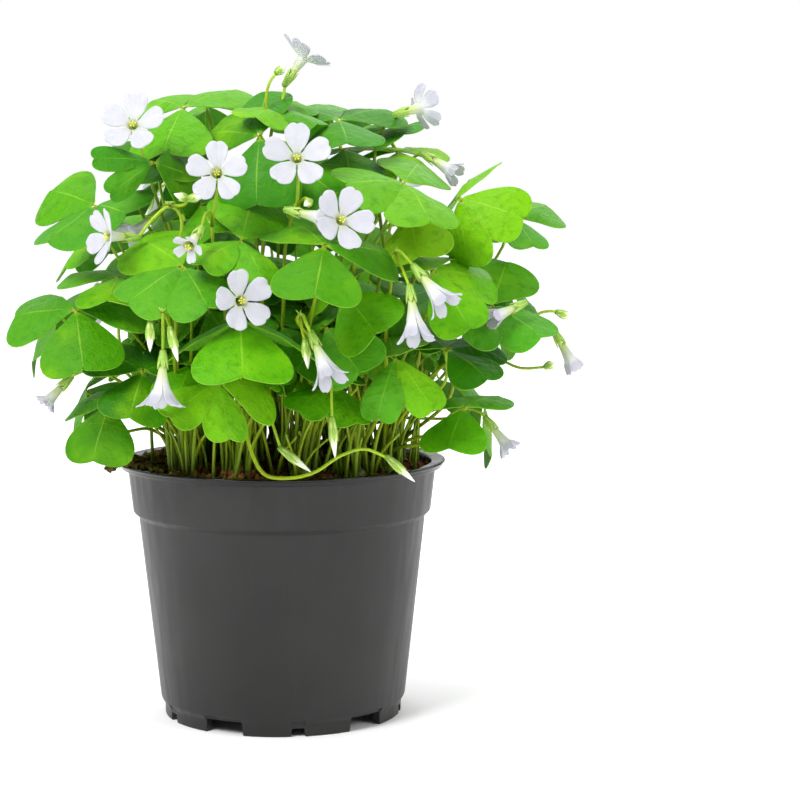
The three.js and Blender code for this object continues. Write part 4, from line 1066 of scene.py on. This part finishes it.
def placed_leaf(azimuth, row, height, reach, spin):
    a = math.radians(azimuth)
    lean = math.radians(row["lean"])
    out = vec(math.cos(a), math.sin(a), 0)
    hub = out * reach + (0, 0, height)
    face = out * math.cos(lean) + (0, 0, math.sin(lean))
    side = vec(-out[1], out[0], 0)
    rise = unit(np.cross(face, side))
    flat_share = math.sqrt(1 - BACK["droop"] ** 2)
    tips = []
    for i in range(3):
        turn = math.radians(spin + i * 120)
        flat = side * math.cos(turn) + rise * math.sin(turn)
        tips.append(hub + flat * row["size"] * flat_share - face * row["size"] * BACK["droop"])
    return {"hub": hub, "tips": tips}


def back_bunches():
    draw = draws(BACK["seed"])
    step = (BACK["last"] - BACK["first"]) / (BACK["sectors"] - 1)
    bunches = {}
    for i in range(BACK["sectors"]):
        azimuth = BACK["first"] + i * step
        side = 1 if i % 2 == 0 else -1
        leaves = []
        for row in BACK_ROWS:
            if i + 1 not in row.get("sectors", range(1, BACK["sectors"] + 1)):
                continue
            height = row["height"] - side * BACK["stagger"][0] + 6 * (next(draw) - 0.5)
            turned = azimuth + row["swing"] + 5 * (next(draw) - 0.5)
            spin = 90 + 50 * (next(draw) - 0.5)
            leaves.append(placed_leaf(turned, row, height, row["reach"] + side * BACK["stagger"][1], spin))
        a = math.radians(azimuth)
        foot = (BACK["crown"] * math.cos(a), BACK["crown"] * math.sin(a))
        bunches[f"back_{i + 1}"] = {"foot": foot, "leaves": leaves, "scapes": []}
    return bunches


def seen_leaf(entry):
    (column, row), deep, size, tips = entry
    hub = seen(column, row, deep)
    return {"hub": hub, "tips": [seen_at_reach(x, y, hub, size, side) for x, y, side in tips]}


BUNCHES = {
    name: {"foot": foot, "leaves": [seen_leaf(entry) for entry in leaves], "scapes": []}
    for name, (foot, leaves) in FRONT_BUNCHES.items()
}
BUNCHES.update(back_bunches())
print("bunches:", len(BUNCHES), "leaves:", sum(len(b["leaves"]) for b in BUNCHES.values()))

# %% [markdown]
# ## A leaflet
# A leaflet is a broad heart on its point: straight sides from the hub, round shoulders, and a
# shallow notch at the end of the midrib. Its halves fold down from the midrib like a roof. The
# mesh runs in rows from the midrib to the edge, the way the side veins run, so the veins can be
# pressed into it and the edge is smooth without any cutting.

# %% Leaflet
EDGE = [(0.03, 0.02), (0.17, 0.27), (0.37, 0.62), (0.56, 0.88), (0.74, 1.0), (0.9, 0.97),
        (1.015, 0.8), (1.07, 0.54), (1.075, 0.28), (1.058, 0.09), (1.04, 0.012)]
LEAF_ROWS = 24
LEAF_COLUMNS = 6
edge_line = even_line([(t, s, 0.0) for t, s in EDGE], LEAF_ROWS)[:, :2]
column_shares = np.sin(np.linspace(0, 1, LEAF_COLUMNS + 1) * np.pi / 2) ** 0.9


def add_leaflet(pile, hub, tip, up, draw, tint, stride=1, room=1.0):
    """One leaflet from the hub to its tip, its upper face towards up; a stride of 2 is coarser."""
    reach = np.linalg.norm(tip - hub)
    along = unit(tip - hub)
    normal = unit(up - along * np.dot(up, along))
    across = np.cross(normal, along)
    half = min(LEAFLET["half_width"], room) * reach
    fold = math.radians(LEAFLET["fold"])
    start = LEAFLET["start"] / reach
    share = np.linspace(0, 1, LEAF_ROWS + 1)[:, None]
    rib = start + (1.03 - start) * share
    sides = np.concatenate([-column_shares[:0:-1], column_shares])[None, :]
    way = np.abs(sides)
    t = rib + (np.maximum(edge_line[:, :1], start) - rib) * way
    s = edge_line[:, 1:] * sides
    wave = draw.uniform(0.25, 0.6)
    phase = draw.uniform(0, 6.28)
    curl = draw.uniform(-0.035, 0.02) * reach
    twist = draw.uniform(-0.05, 0.05) * half
    height = LEAFLET["arch"] * reach * 4 * t * (1 - t) - np.abs(s) ** 1.15 * half * math.sin(fold)
    height = height + curl * t**3 + twist * s * t
    height = height + wave * way**2 * np.sin(share * 9 + phase + (sides > 0) * 1.7) * np.minimum(1, t * 2)
    height = height - 0.22 * np.exp(-((way / 0.07) ** 2)) * np.minimum(1, t * 3)
    pressed = (np.arange(LEAF_ROWS + 1) % 3 == 0)[:, None]
    height = height - 0.13 * pressed * np.sin(way * np.pi)
    dapple = np.sin(t * draw.uniform(6, 10) + phase) * np.cos(s * draw.uniform(5, 8) + phase * 2)
    height = height + draw.uniform(0.2, 0.42) * dapple * np.sin(np.pi * np.clip(t, 0, 1))
    grid = (
        hub + along * (t * reach)[..., None]
        + across * (s * half * math.cos(fold))[..., None] + normal * height[..., None]
    )
    marks = np.stack(np.broadcast_arrays(sides * np.ones_like(t), share * np.ones_like(t)), axis=-1)
    grid, marks = (a[::stride, ::stride] for a in (grid, marks))
    add_sheet(pile, grid, LEAFLET["thick"], (LEAF_TOP, LEAF_UNDER), marks.reshape(-1, 2), tint)


def facing(leaf):
    """Direction that the leaf's upper face looks: square to its tips, away from the heart."""
    a, b, c = leaf["tips"]
    across = unit(np.cross(b - a, c - a))
    return across if np.dot(across, leaf["hub"] - HEART) >= 0 else -across


def sprouts_of(foot, targets):
    """First two points of each stalk: evenly round inside the crown, in order of bearing."""
    bearing = [math.atan2(t[1] - foot[1], t[0] - foot[0]) for t in targets]
    mean = math.atan2(sum(map(math.sin, bearing)), sum(map(math.cos, bearing)))
    turn = [math.atan2(math.sin(a - mean), math.cos(a - mean)) for a in bearing]
    order = sorted(range(len(turn)), key=lambda i: turn[i])
    top = soil_top(*foot)
    sprouts = [None] * len(targets)
    for place, item in enumerate(order):
        a = mean + ((place - (len(order) - 1) / 2) / len(order)) * math.pi * 2
        x = foot[0] + CROWN["spread"] * math.cos(a)
        y = foot[1] + CROWN["spread"] * math.sin(a)
        sprouts[item] = (vec(x, y, top - CROWN["depth"]), vec(x, y, top + CROWN["sprout"]))
    return sprouts


def add_leaf(pile, leaf, sprout, draw):
    up = facing(leaf)
    hub = leaf["hub"]
    root, shoot = sprout
    neck = hub - up * PETIOLE["neck"]
    rise = shoot + (neck - shoot) * 0.4
    rise[2] = shoot[2] + (neck[2] - shoot[2]) * 0.52 + 3
    line = even_line([root, shoot, rise, neck, hub - up * 0.5], 26)
    add_tube(pile, line, PETIOLE["radius"], PETIOLE["radius"] * 0.72, STALK, draw.random(), bulge=0.25)
    tint = draw.random()
    for tip in leaf["tips"]:
        way = unit(tip - hub)
        closest = max(np.dot(way, unit(other - hub)) for other in leaf["tips"] if other is not tip)
        room = LEAFLET["room"] * math.tan(math.acos(closest) / 2)
        shade = min(1, max(0, tint + draw.uniform(-0.03, 0.03)))
        add_leaflet(pile, hub, tip, up, draw, shade, room=room)
        stub = np.array([hub - up * 0.35, hub + way * 0.7 - up * 0.1, hub + way * 2.2])
        add_tube(pile, stub, 0.6, 0.36, STALK, 0.0, sides=6)


# %% [markdown]
# ## Flowers and flower stalks: where they stand
# A flower is placed by the mouth of its tube, the way it looks (degrees to the right of the
# front, and up), how far the petals reach, and how deep their cup is. The stalks, or scapes,
# are bare and carry one to three flowers and buds each. They are drawn as columns, rows and
# depths too. The first line of a scape rises from the crown, and the others fork from it.

# %% Flower places
FLOWER_WORDS = ("column", "row", "deep", "right", "up", "spin", "reach", "cup")
FLOWERS = {
    1: (133, 125, -64, -5, 28, 5, 12.6, 3),
    2: (217, 173, -84, 0, 12, 0, 11.8, 2.5),
    3: (297, 158, -78, 0, 24, 0, 13.2, 3),
    4: (341, 220, -98, 28, 16, 28, 12.2, 4),
    5: (241, 301, -100, 26, 8, -12, 11.6, 4),
    6: (303, 58, -38, 100, 55, 10, 11.5, 4),
    7: (420, 108, -38, 128, 12, 12, 9.5, 3.5),
    8: (448, 169, -34, 70, -30, 0, 5, 5),
    9: (108, 236, -80, -58, 4, 30, 11, 4),
    10: (189, 246, -102, -20, -30, 30, 6, 2.5),
    11: (317, 217, -84, 72, -12, 0, 6.6, 5),
    12: (162, 386, -100, -8, -80, 12, 9.3, 7.5),
    13: (434, 291, -90, 60, -46, 0, 7.6, 8),
    14: (414, 319, -94, 20, -68, 30, 7.4, 8.5),
    15: (323, 362, -96, 42, -56, 20, 7.6, 8.5),
    16: (49, 400, -50, -70, -45, 0, 5, 3),
    17: (505, 443, -50, 70, -50, 0, 5, 4),
    18: (570, 359, -42, 80, -60, 0, 4, 5),
    19: (499, 315, -60, -60, -20, 0, 4.2, 4.5),
    20: (137, 231, -56, -60, -38, 0, 7.5, 4.5),
}
SCAPES = [
    ("upper_left", [([(190, 330, -26), (172, 250, -38), (158, 203, -44), (149, 175, -50), (143, 155, -54)], 1)], []),
    ("left_front", [([(176, 330, -58), (178, 255, -66), (181, 217, -70), (170, 206, -72), (152, 220, -74)], 9),
                    ([(181, 217, -70), (174, 203, -66), (166, 204, -58)], 20),
                    ([(181, 219, -70), (184, 205, -73), (188, 199, -76)], 0)],
     [((188, 199, -76), (174, 194, -80)), ((188, 199, -76), (205, 196, -80))]),
    ("left_front", [([(226, 330, -56), (216, 262, -66), (212, 226, -78), (215, 204, -78)], 2),
                    ([(212, 226, -78), (211, 213, -84), (205, 215, -90)], 10)], []),
    ("left_front", [([(178, 400, -56), (172, 335, -66), (166, 304, -86), (163, 311, -98), (163, 330, -100)], 12),
                    ([(163, 311, -98), (154, 315, -98), (150, 323, -98)], 0),
                    ([(163, 311, -98), (167, 320, -99), (170, 329, -99)], 0)],
     [((150, 323, -98), (150, 352, -100)), ((170, 329, -99), (178, 362, -100))]),
    ("upper_front", [([(262, 300, -48), (252, 200, -46), (255, 150, -44), (264, 128, -48), (277, 112, -44),
                       (283, 98, -39)], 6),
                     ([(266, 126, -48), (266, 105, -46), (269, 84, -46), (276, 73, -45)], 0)],
     [((276, 73, -45), (286, 66, -44))]),
    ("upper_front", [([(282, 330, -52), (285, 250, -54), (290, 222, -60), (297, 203, -74), (298, 186, -72)], 3),
                     ([(297, 203, -74), (299, 208, -77)], 11),
                     ([(297, 203, -74), (305, 198, -78), (311, 201, -80)], 0)],
     [((311, 201, -80), (304, 206, -82))]),
    ("front_right", [([(316, 400, -56), (316, 352, -64), (297, 320, -84), (303, 315, -91), (306, 323, -94)], 15),
                     ([(297, 320, -84), (302, 330, -90), (305, 341, -91)], 0)],
     [((305, 341, -91), (308, 369, -92))]),
    ("front_right", [([(352, 330, -56), (354, 270, -62), (352, 236, -72)], 4),
                     ([(350, 345, -56), (345, 368, -70), (333, 380, -76), (332, 420, -80)], 0)],
     [((332, 420, -80), (335, 458, -80))]),
    ("upper_right", [([(384, 300, -30), (378, 200, -26), (375, 150, -22), (384, 127, -20), (394, 119, -22)], 7),
                     ([(379, 210, -26), (400, 170, -22), (424, 152, -26), (434, 155, -30)], 8)], []),
    ("right_front", [([(384, 400, -54), (386, 330, -58), (391, 280, -62), (391, 257, -70), (399, 251, -78)], 13),
                     ([(391, 257, -70), (399, 262, -80), (404, 273, -87)], 14)], []),
    ("far_right", [([(448, 400, -18), (461, 352, -22), (490, 330, -30), (508, 324, -38), (530, 327, -42),
                     (548, 333, -42)], 18),
                   ([(508, 324, -38), (506, 320, -48)], 19),
                   ([(530, 327, -42), (538, 314, -40), (550, 311, -39), (557, 312, -38)], 0),
                   ([(450, 395, -18), (470, 362, -22), (492, 357, -25), (520, 368, -28), (545, 367, -30)], 0)],
     [((557, 312, -38), (573, 318, -37)), ((545, 367, -30), (557, 362, -30))]),
    ("left", [([(150, 420, -32), (128, 388, -36), (112, 377, -40), (98, 372, -44), (84, 371, -46),
                (72, 376, -48)], 16)], []),
    ("right", [([(430, 440, -46), (452, 414, -44), (466, 408, -46), (480, 412, -48)], 17)], []),
    ("front", [([(244, 410, -62), (247, 437, -69), (264, 474, -72), (290, 478, -72), (315, 472, -71),
                 (340, 456, -70), (364, 449, -68), (388, 458, -67)], 0),
               ([(244, 410, -62), (228, 340, -64), (232, 312, -76)], 5),
               ([(244, 410, -62), (264, 408, -66), (281, 449, -70)], 0)],
     [((388, 458, -67), (415, 482, -70)), ((281, 449, -70), (311, 472, -72))]),
]
BACK_SCAPES = [(1, 34, 90, 150), (2, 62, 88, 196), (4, 122, 88, 192), (5, 148, 82, 144)]


# %% Flower frames
def flower_place(flower, throat=None):
    right, up = math.radians(flower["right"]), math.radians(flower["up"])
    axis = vec(math.sin(right) * math.cos(up), -math.cos(right) * math.cos(up), math.sin(up))
    throat = seen(flower["column"], flower["row"], flower["deep"]) if throat is None else throat
    mouth = throat - axis * (COROLLA["tube"] + COROLLA["gap"])
    return {**flower, "axis": axis, "throat": throat, "mouth": mouth, "foot": mouth - axis * CALYX["length"]}


FLOWER_PLACES = {
    f"{key:02d}": flower_place(dict(zip(FLOWER_WORDS, numbers))) for key, numbers in FLOWERS.items()
}
for sector, azimuth, reach, height in BACK_SCAPES:
    a = math.radians(azimuth)
    umbel = vec(reach * math.cos(a), reach * math.sin(a), height)
    throat = umbel + vec(math.cos(a), math.sin(a), 0) * 12
    throat[2] = height + 14
    looks = {"right": 90 + azimuth, "up": 20, "spin": 0, "reach": 12, "cup": 3}
    FLOWER_PLACES[f"back_{sector}"] = flower_place(looks, throat)
print("flowers:", len(FLOWER_PLACES))

# %% [markdown]
# ## Calyx and buds
# Five pointed sepals hold the tube of each flower. Each is a narrow curved sheet that hugs the
# tube, so the gaps between them show. A bud is a turned spindle with the same five sepals round
# its lower half, and the rolled petals come out of them as a pale tip with a spiral seam.

# %% Calyx and buds
def add_sepals(pile, foot, axis, length, foot_radius, mouth_radius, tip_radius, tint=0.0):
    up, side = basis(axis)
    rows, columns = 9, 7
    for k in range(5):
        middle = 2 * math.pi * k / 5 + 0.4
        v = np.linspace(0, 1, rows)[:, None]
        h = np.linspace(-1, 1, columns)[None, :]
        width = np.where(v < 0.45, 0.64, 0.64 * (1 - ((v - 0.45) / 0.56) ** 1.7))
        turn = middle + h * width
        radius = np.where(v < 0.6, foot_radius + (mouth_radius - foot_radius) * v / 0.6,
                          mouth_radius + (tip_radius - mouth_radius) * (v - 0.6) / 0.4)
        radius = radius * np.ones_like(h) + 0.12 * (1 - h**2)
        out = np.cos(turn)[..., None] * up + np.sin(turn)[..., None] * side
        grid = foot + out * radius[..., None] + axis * (v * length * np.ones_like(h))[..., None]
        marks = np.stack(np.broadcast_arrays(h * np.ones_like(v), v * np.ones_like(h)), axis=-1)
        add_sheet(pile, grid[:, ::-1], 0.28, (SEPAL, SEPAL), marks[:, ::-1].reshape(-1, 2), tint)


def add_calyx(pile, flower):
    c = CALYX
    profile = [(0.5, -0.4), (c["foot"] + 0.1, 0.5), (c["foot"] + 0.35, 1.6), (1.3, 3.4), (1.25, 5.2), (0.9, 5.6)]
    add_turned(pile, profile, flower["foot"], flower["axis"], SEPAL, sides=12)
    add_sepals(pile, flower["foot"], flower["axis"], c["length"] + 1.3, c["foot"], c["mouth"] - 0.25, 1.85)


def add_bud(pile, foot, tip):
    axis = unit(tip - foot)
    length = np.linalg.norm(tip - foot)
    shares = np.linspace(0, 1, 15)
    shape = [(1.62 * math.sin(math.pi * s**0.72) ** 0.75 * (1 - 0.28 * s) + 0.08, s * length) for s in shares]

    def seam(radius, height, turn):
        swirl = np.cos(5 * turn + height / length * 5)
        return radius * (1 + 0.07 * swirl * np.minimum(1, height / length * 2)), height

    add_turned(pile, shape, foot, axis, BUD, sides=20, shape=seam)
    add_sepals(pile, foot, axis, length * 0.6, 0.7, 1.5, 1.5)


# %% [markdown]
# ## Flower stalks
# A scape is drawn as the solid one is: a smooth line from the crown through its drawn places to
# the foot of a flower, and side stalks that start at the nearest point of the first. Small
# bracts sit where the stalks fork, as on the real umbel.

# %% Flower stalks
def half_up(value):
    return int(value + 0.5)


def nearest_of(line, place):
    return min(line, key=lambda q: float(np.linalg.norm(q - place)))


def add_bracts(pile, fork, draw):
    for _ in range(3):
        a = draw.uniform(0, 2 * math.pi)
        way = unit(vec(math.cos(a) * 0.7, math.sin(a) * 0.7, 0.9))
        line = np.array([fork, fork + way * 1.3, fork + way * 2.6 + (0, 0, -0.2)])
        add_tube(pile, line, 0.45, 0.06, SEPAL, 0.0, sides=5)


def add_scape(pile, scape, sprout, draw):
    _, stalks, buds = scape
    tint = draw.random()
    main = None
    for drawn, flower in stalks:
        points = [seen(*p) for p in drawn]
        flower = FLOWER_PLACES.get(f"{flower:02d}")
        end = [flower["foot"] + flower["axis"] * 0.8] if flower else []
        if main is None:
            control = [*sprout, *points, *end]
            main = even_line(control, max(2, half_up((len(control) - 1) * SCAPE["steps"])))
            line = even_line(control, 12 + 5 * len(control))
            add_tube(pile, line, SCAPE["radius"], SCAPE["radius"] * 0.7, STALK, tint)
        else:
            fork = nearest_of(main, points[0])
            line = even_line([fork, *points[1:], *end], 14)
            add_tube(pile, line, PEDICEL["radius"] * 0.9, PEDICEL["radius"] * 0.75, STALK, tint)
            add_bracts(pile, fork, draw)
        if flower:
            add_calyx(pile, flower)
    for start, stop in buds:
        tip = seen(*stop)
        foot = seen(*start)
        add_bud(pile, foot + (tip - foot) * -0.08, tip)


def add_back_scape(pile, entry, sprout, draw):
    sector, azimuth, reach, height = entry
    a = math.radians(azimuth)
    out = vec(math.cos(a), math.sin(a), 0)
    along = vec(-out[1], out[0], 0)
    umbel = out * reach + (0, 0, height)
    middle = out * reach * 0.86 + (0, 0, height * 0.6 + 40)
    flower = FLOWER_PLACES[f"back_{sector}"]
    control = [*sprout, middle, umbel, flower["foot"] + flower["axis"] * 0.8]
    main = even_line(control, max(2, half_up((len(control) - 1) * SCAPE["steps"])))
    add_tube(pile, even_line(control, 36), SCAPE["radius"], SCAPE["radius"] * 0.7, STALK, draw.random())
    fork = nearest_of(main, umbel)
    knee = fork + along * 7 + (0, 0, 8)
    bend = fork + along * 13 + (0, 0, 3)
    add_tube(pile, even_line([fork, knee, bend], 14), PEDICEL["radius"], PEDICEL["radius"] * 0.8, STALK)
    add_bracts(pile, fork, draw)
    add_bud(pile, bend + (0, 0, 0.9), bend + along * 3 + (0, 0, -9))
    add_calyx(pile, flower)


# %% [markdown]
# ## Crowns, young stalks and inner leaves
# Where a bunch leaves the soil there is a low scaly crown, and round it many thin stalks so close together that the
# ground between them is hardly seen. They could be a particle system, but a seeded draw gives real meshes. Smaller
# leaves stand inside the bunch, tinted only in the darker greens as painted shade, so the plant is dark green
# between its outer leaves and not hollow.

# %% Crowns and young stalks
YOUNG = {"count": 14, "thin": 0.5, "stout": 0.95, "low": 16, "high": 62, "leafy": 42, "reach": 60}
INNER = {"nearest": 0.45, "farthest": 0.72, "lowest": 152, "small": 15, "large": 22, "droop": 0.35}


def add_crown(pile, foot, draw):
    top = soil_top(*foot)
    c = CROWN
    profile = [(c["radius"] * 0.9, -4), (c["radius"], 0), (c["radius"] * 0.86, c["top"] * 0.6),
               (c["radius"] * 0.6, c["top"]), (c["radius"] * 0.25, c["top"] + 0.3), (0.05, c["top"] + 0.4)]
    phase = draw.uniform(0, 6)

    def scales(radius, height, turn):
        lump = 0.12 * np.sin(7 * turn + phase + height) + 0.06 * np.sin(13 * turn - height * 2)
        return radius * (1 + lump), height

    add_turned(pile, profile, vec(*foot, top), vec(0, 0, 1), CROWN_SCALES, sides=22, shape=scales)


def add_young(pile, foot, draw):
    """Young stalks that lean out from the crown; the tall ones carry a small folded leaf."""
    for _ in range(YOUNG["count"]):
        a = draw.uniform(0, 2 * math.pi)
        r = CROWN["radius"] * draw.uniform(0.3, 2.6)
        x, y = foot[0] + r * math.cos(a), foot[1] + r * math.sin(a)
        inside = min(1, (RIM_INSIDE - 3) / math.hypot(x, y))
        start = vec(x * inside, y * inside, 0)
        start[2] = soil_top(start[0], start[1]) - 2
        height = draw.uniform(YOUNG["low"], YOUNG["high"])
        out = start * (1, 1, 0) / 46 + vec(draw.uniform(-0.8, 0.8), draw.uniform(-0.8, 0.8), 0)
        lean = out * draw.uniform(0.25, 1.5) * height
        top = start + lean + (0, 0, height)
        top[:2] *= min(1, YOUNG["reach"] / math.hypot(top[0], top[1]))
        lean = (top - start) * (1, 1, 0)
        middle = start + lean * 0.32 + (0, 0, height * 0.55)
        thick = draw.uniform(YOUNG["thin"], YOUNG["stout"])
        add_tube(pile, even_line([start, middle, top], 10), thick, thick * 0.6, STALK, draw.random(), sides=6)
        if height > YOUNG["leafy"]:
            add_small_leaf(pile, top, unit(top - middle), draw, draw.uniform(0.1, 0.6), (5, 9), 0.6)


def add_small_leaf(pile, hub, up, draw, tint, sizes, droop):
    first, second = basis(up)
    spin = draw.uniform(0, 2 * math.pi)
    for k in range(3):
        turn = spin + 2 * math.pi * k / 3
        way = unit(first * math.cos(turn) + second * math.sin(turn) - up * droop * draw.uniform(0.6, 1.3))
        add_leaflet(pile, hub, hub + way * draw.uniform(*sizes), up, draw, tint, stride=2)


def add_inner(pile, foot, leaf, draw):
    """A leaf between the heart of the plant and one of the outer leaves, tinted dark as painted shade."""
    out = leaf["hub"] - HEART
    hub = HEART + out * draw.uniform(INNER["nearest"], INNER["farthest"])
    hub = hub + [draw.uniform(-9, 9) for _ in range(3)]
    hub[2] = max(hub[2], INNER["lowest"] + draw.uniform(0, 14))
    up = unit(unit(out) + vec(0, 0, draw.uniform(0.1, 0.7)))
    root = vec(foot[0] + draw.uniform(-6, 6), foot[1] + draw.uniform(-6, 6), soil_top(*foot) - 2)
    neck = hub - up * PETIOLE["neck"] * 0.8
    low = root + (neck - root) * (0.22, 0.22, 0.2)
    rise = root + (neck - root) * (0.5, 0.5, 0.56)
    line = even_line([root, low, rise, neck, hub], 16)
    add_tube(pile, line, PETIOLE["radius"] * 0.9, PETIOLE["radius"] * 0.6, STALK, draw.random(), sides=6)
    # The dark tints, 0 to 0.35, are painted shade inside the bunch.
    add_small_leaf(pile, hub, up, draw, draw.uniform(0, 0.35), (INNER["small"], INNER["large"]), INNER["droop"])


# %% Bunches
def make_bunch(name, bunch):
    draw = random.Random(name)
    pile = Pile([LEAF_TOP, LEAF_UNDER, STALK, CROWN_SCALES, SEPAL, BUD])
    foot = bunch["foot"]
    scapes = [s for s in SCAPES if s[0] == name]
    back = [s for s in BACK_SCAPES if name == f"back_{s[0]}"]
    targets = [leaf["hub"] for leaf in bunch["leaves"]]
    targets += [seen(*scape[1][0][0][0]) for scape in scapes]
    for sector, azimuth, reach, height in back:
        a = math.radians(azimuth)
        targets.append(vec(reach * math.cos(a), reach * math.sin(a), height))
    sprouts = sprouts_of(foot, targets)
    add_crown(pile, foot, draw)
    for leaf, sprout in zip(bunch["leaves"], sprouts):
        add_leaf(pile, leaf, sprout, draw)
    rest = sprouts[len(bunch["leaves"]):]
    for scape, sprout in zip(scapes, rest):
        add_scape(pile, scape, sprout, draw)
    for entry, sprout in zip(back, rest):
        add_back_scape(pile, entry, sprout, draw)
    add_young(pile, foot, draw)
    for leaf in bunch["leaves"]:
        add_inner(pile, foot, leaf, draw)
    piece = pile.to_piece(f"oxalis_{name}")
    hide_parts(f"bunch_{name}")
    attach(piece, "root")
    return piece


foliage = [make_bunch(name, bunch) for name, bunch in BUNCHES.items()]
print("foliage faces:", sum(len(piece.data.polygons) for piece in foliage))

# %% [markdown]
# ## Flowers
# A corolla is a funnel that opens into five petals. Each fifth of it is one sheet that runs from
# the foot of the tube to the end of a petal, so there is no seam at the throat. The petal is
# broadest past its middle, with a round end and a slight notch, ridged along its veins and
# waved at the edge. Five anthers and the stigmas stand in the throat.

# %% Flowers
TUBE_ROWS = 5
PETAL_ROWS = 13
PETAL_COLUMNS = 6
PETAL_SPREAD = math.radians(36)


def petal_grid(flower, out, side, draw):
    """Grid of a fifth of the corolla, rows outwards and columns across, with its marks."""
    c = COROLLA
    bell = min(1, max(0, (flower["cup"] - 4.5) / 3))
    throat = c["throat"] * (0.85 + 0.15 * bell)
    h = np.linspace(-1, 1, 2 * PETAL_COLUMNS + 1)[None, :]
    tube = np.linspace(0, 1, TUBE_ROWS + 1)[:-1, None] * np.ones_like(h)
    tube_radius = c["foot"] + (throat - c["foot"]) * tube**1.5
    end = 1 - (0.26 + 0.14 * bell) * np.abs(h) ** (3 - 0.6 * bell) - 0.05 * np.exp(-((h / 0.16) ** 2))
    v = np.linspace(0, 1, PETAL_ROWS + 1)[:, None] ** 0.9 * end
    reach = flower["reach"] * (0.95 + 0.05 * bell)
    length = math.hypot(reach - throat, flower["cup"])
    width = length * (0.43 - 0.16 * bell)
    root = throat * math.sin(PETAL_SPREAD)
    half = root + (width - root) * np.sin(np.minimum(v / 0.7, 1) * np.pi / 2) ** 0.9
    bend = np.clip(1 - v / 0.25, 0, 1) ** 1.5
    radius = throat + v ** (1 + 0.5 * bell) * (reach - throat)
    arc_out = np.cos(PETAL_SPREAD * h) * throat - throat
    away = np.vstack([tube_radius * np.cos(PETAL_SPREAD * h), radius + arc_out * bend])
    span = np.vstack([tube_radius * np.sin(PETAL_SPREAD * h),
                      (np.sin(PETAL_SPREAD * h) * throat) * bend + half * h * (1 - bend)])
    phase = draw.uniform(0, 6.28)
    rise = flower["cup"] * (v**1.2 * (1 - bell) + (1 - (1 - v) ** 1.5) * bell) + 0.5 * v * h**2
    rise = rise + 0.22 * v * np.sin(4 * h + phase) + 0.3 * np.sin(v * 5 + phase) * h**2 * v
    rise = rise - 0.25 * np.exp(-((h / 0.15) ** 2)) * v + draw.uniform(-0.6, 0.3) * v**3
    lift = np.vstack([-c["tube"] * (1 - tube), rise])
    grid = (
        flower["throat"] + out * away[..., None] + side * span[..., None]
        + flower["axis"] * lift[..., None]
    )
    along = np.vstack([tube - 1, v])
    marks = np.stack([h * np.ones_like(along), along], axis=-1)
    return grid, marks


def make_corolla(key, flower):
    draw = random.Random(key)
    pile = Pile([PETAL, TUBE, ANTHER, SEPAL])
    axis = flower["axis"]
    up, side = basis(axis)
    for k in range(5):
        angle = math.radians(flower["spin"] + k * 72)
        out = up * math.cos(angle) - side * math.sin(angle)
        grid, marks = petal_grid(flower, out, np.cross(axis, out), draw)
        add_sheet(pile, grid, COROLLA["thick"], (PETAL, TUBE), marks.reshape(-1, 2), draw.random())
        stem = out * 0.8
        low = flower["throat"] - axis * 2.5
        line = np.array([low + stem * 0.6, low + stem + axis * 1.8, low + stem * 1.1 + axis * 3.4])
        add_tube(pile, line, 0.12, 0.1, SEPAL, sides=5)
        blob = [(0.05, -0.5), (0.28, -0.3), (0.34, 0.0), (0.28, 0.35), (0.05, 0.55)]
        add_turned(pile, blob, line[-1], axis, ANTHER, sides=8)
    low = flower["throat"] - axis * 2.5
    add_tube(pile, np.array([low, low + axis * 2.2, low + axis * 3.6]), 0.3, 0.22, SEPAL, sides=6, bulge=0.2)
    piece = pile.to_piece(f"flower_{key}")
    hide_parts(f"corolla_{key}")
    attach(piece, "root")
    return piece


blossom = [make_corolla(key, flower) for key, flower in FLOWER_PLACES.items()]
print("flower faces:", sum(len(piece.data.polygons) for piece in blossom))

# %% [markdown]
# ## Floor
# The floor is a white table top, large enough that its edge is never in view. It is slightly uneven in tone, as
# paper is. It glows a little, as a table lit from all round does, so it burns out to white. The glow grows with
# distance from the pot, fades out near it and stops under it, which paints the soft shadow at the foot of the pot.

# %% Floor
FLOOR_HALF = 6.0
board = bpy.data.meshes.new("floor")
half = FLOOR_HALF
board.from_pydata([(-half, -half, 0), (half, -half, 0), (half, half, 0), (-half, half, 0)], [], [(0, 1, 2, 3)])
paper = Finish("white_paper", Roughness=0.9)
paper.shader.inputs["Emission Color"].default_value = (1, 1, 1, 1)
place = paper.node("TexCoord").outputs["Object"]
away = paper.node("VectorMath", {0: place}, operation="LENGTH").outputs["Value"]
# Painted shadow: the glow grows with distance from the pot and is cut off under it.
glow_and_painted_shadow = paper.range(away, 0.06, 1.2, 0.06, 0.42)
paper.feed("Emission Strength", paper.maths("MULTIPLY", glow_and_painted_shadow, paper.range(away, 0.042, 0.051)))
paper.shader.inputs["Specular IOR Level"].default_value = 0.1
tone = paper.noise(60, 2, 0.5)
paper.feed("Base Color", paper.mix(tone, (0.93, 0.93, 0.93, 1), (0.96, 0.96, 0.96, 1)))
board.materials.append(paper.material)
floor = bpy.data.objects.new("floor", board)
scene.collection.objects.link(floor)
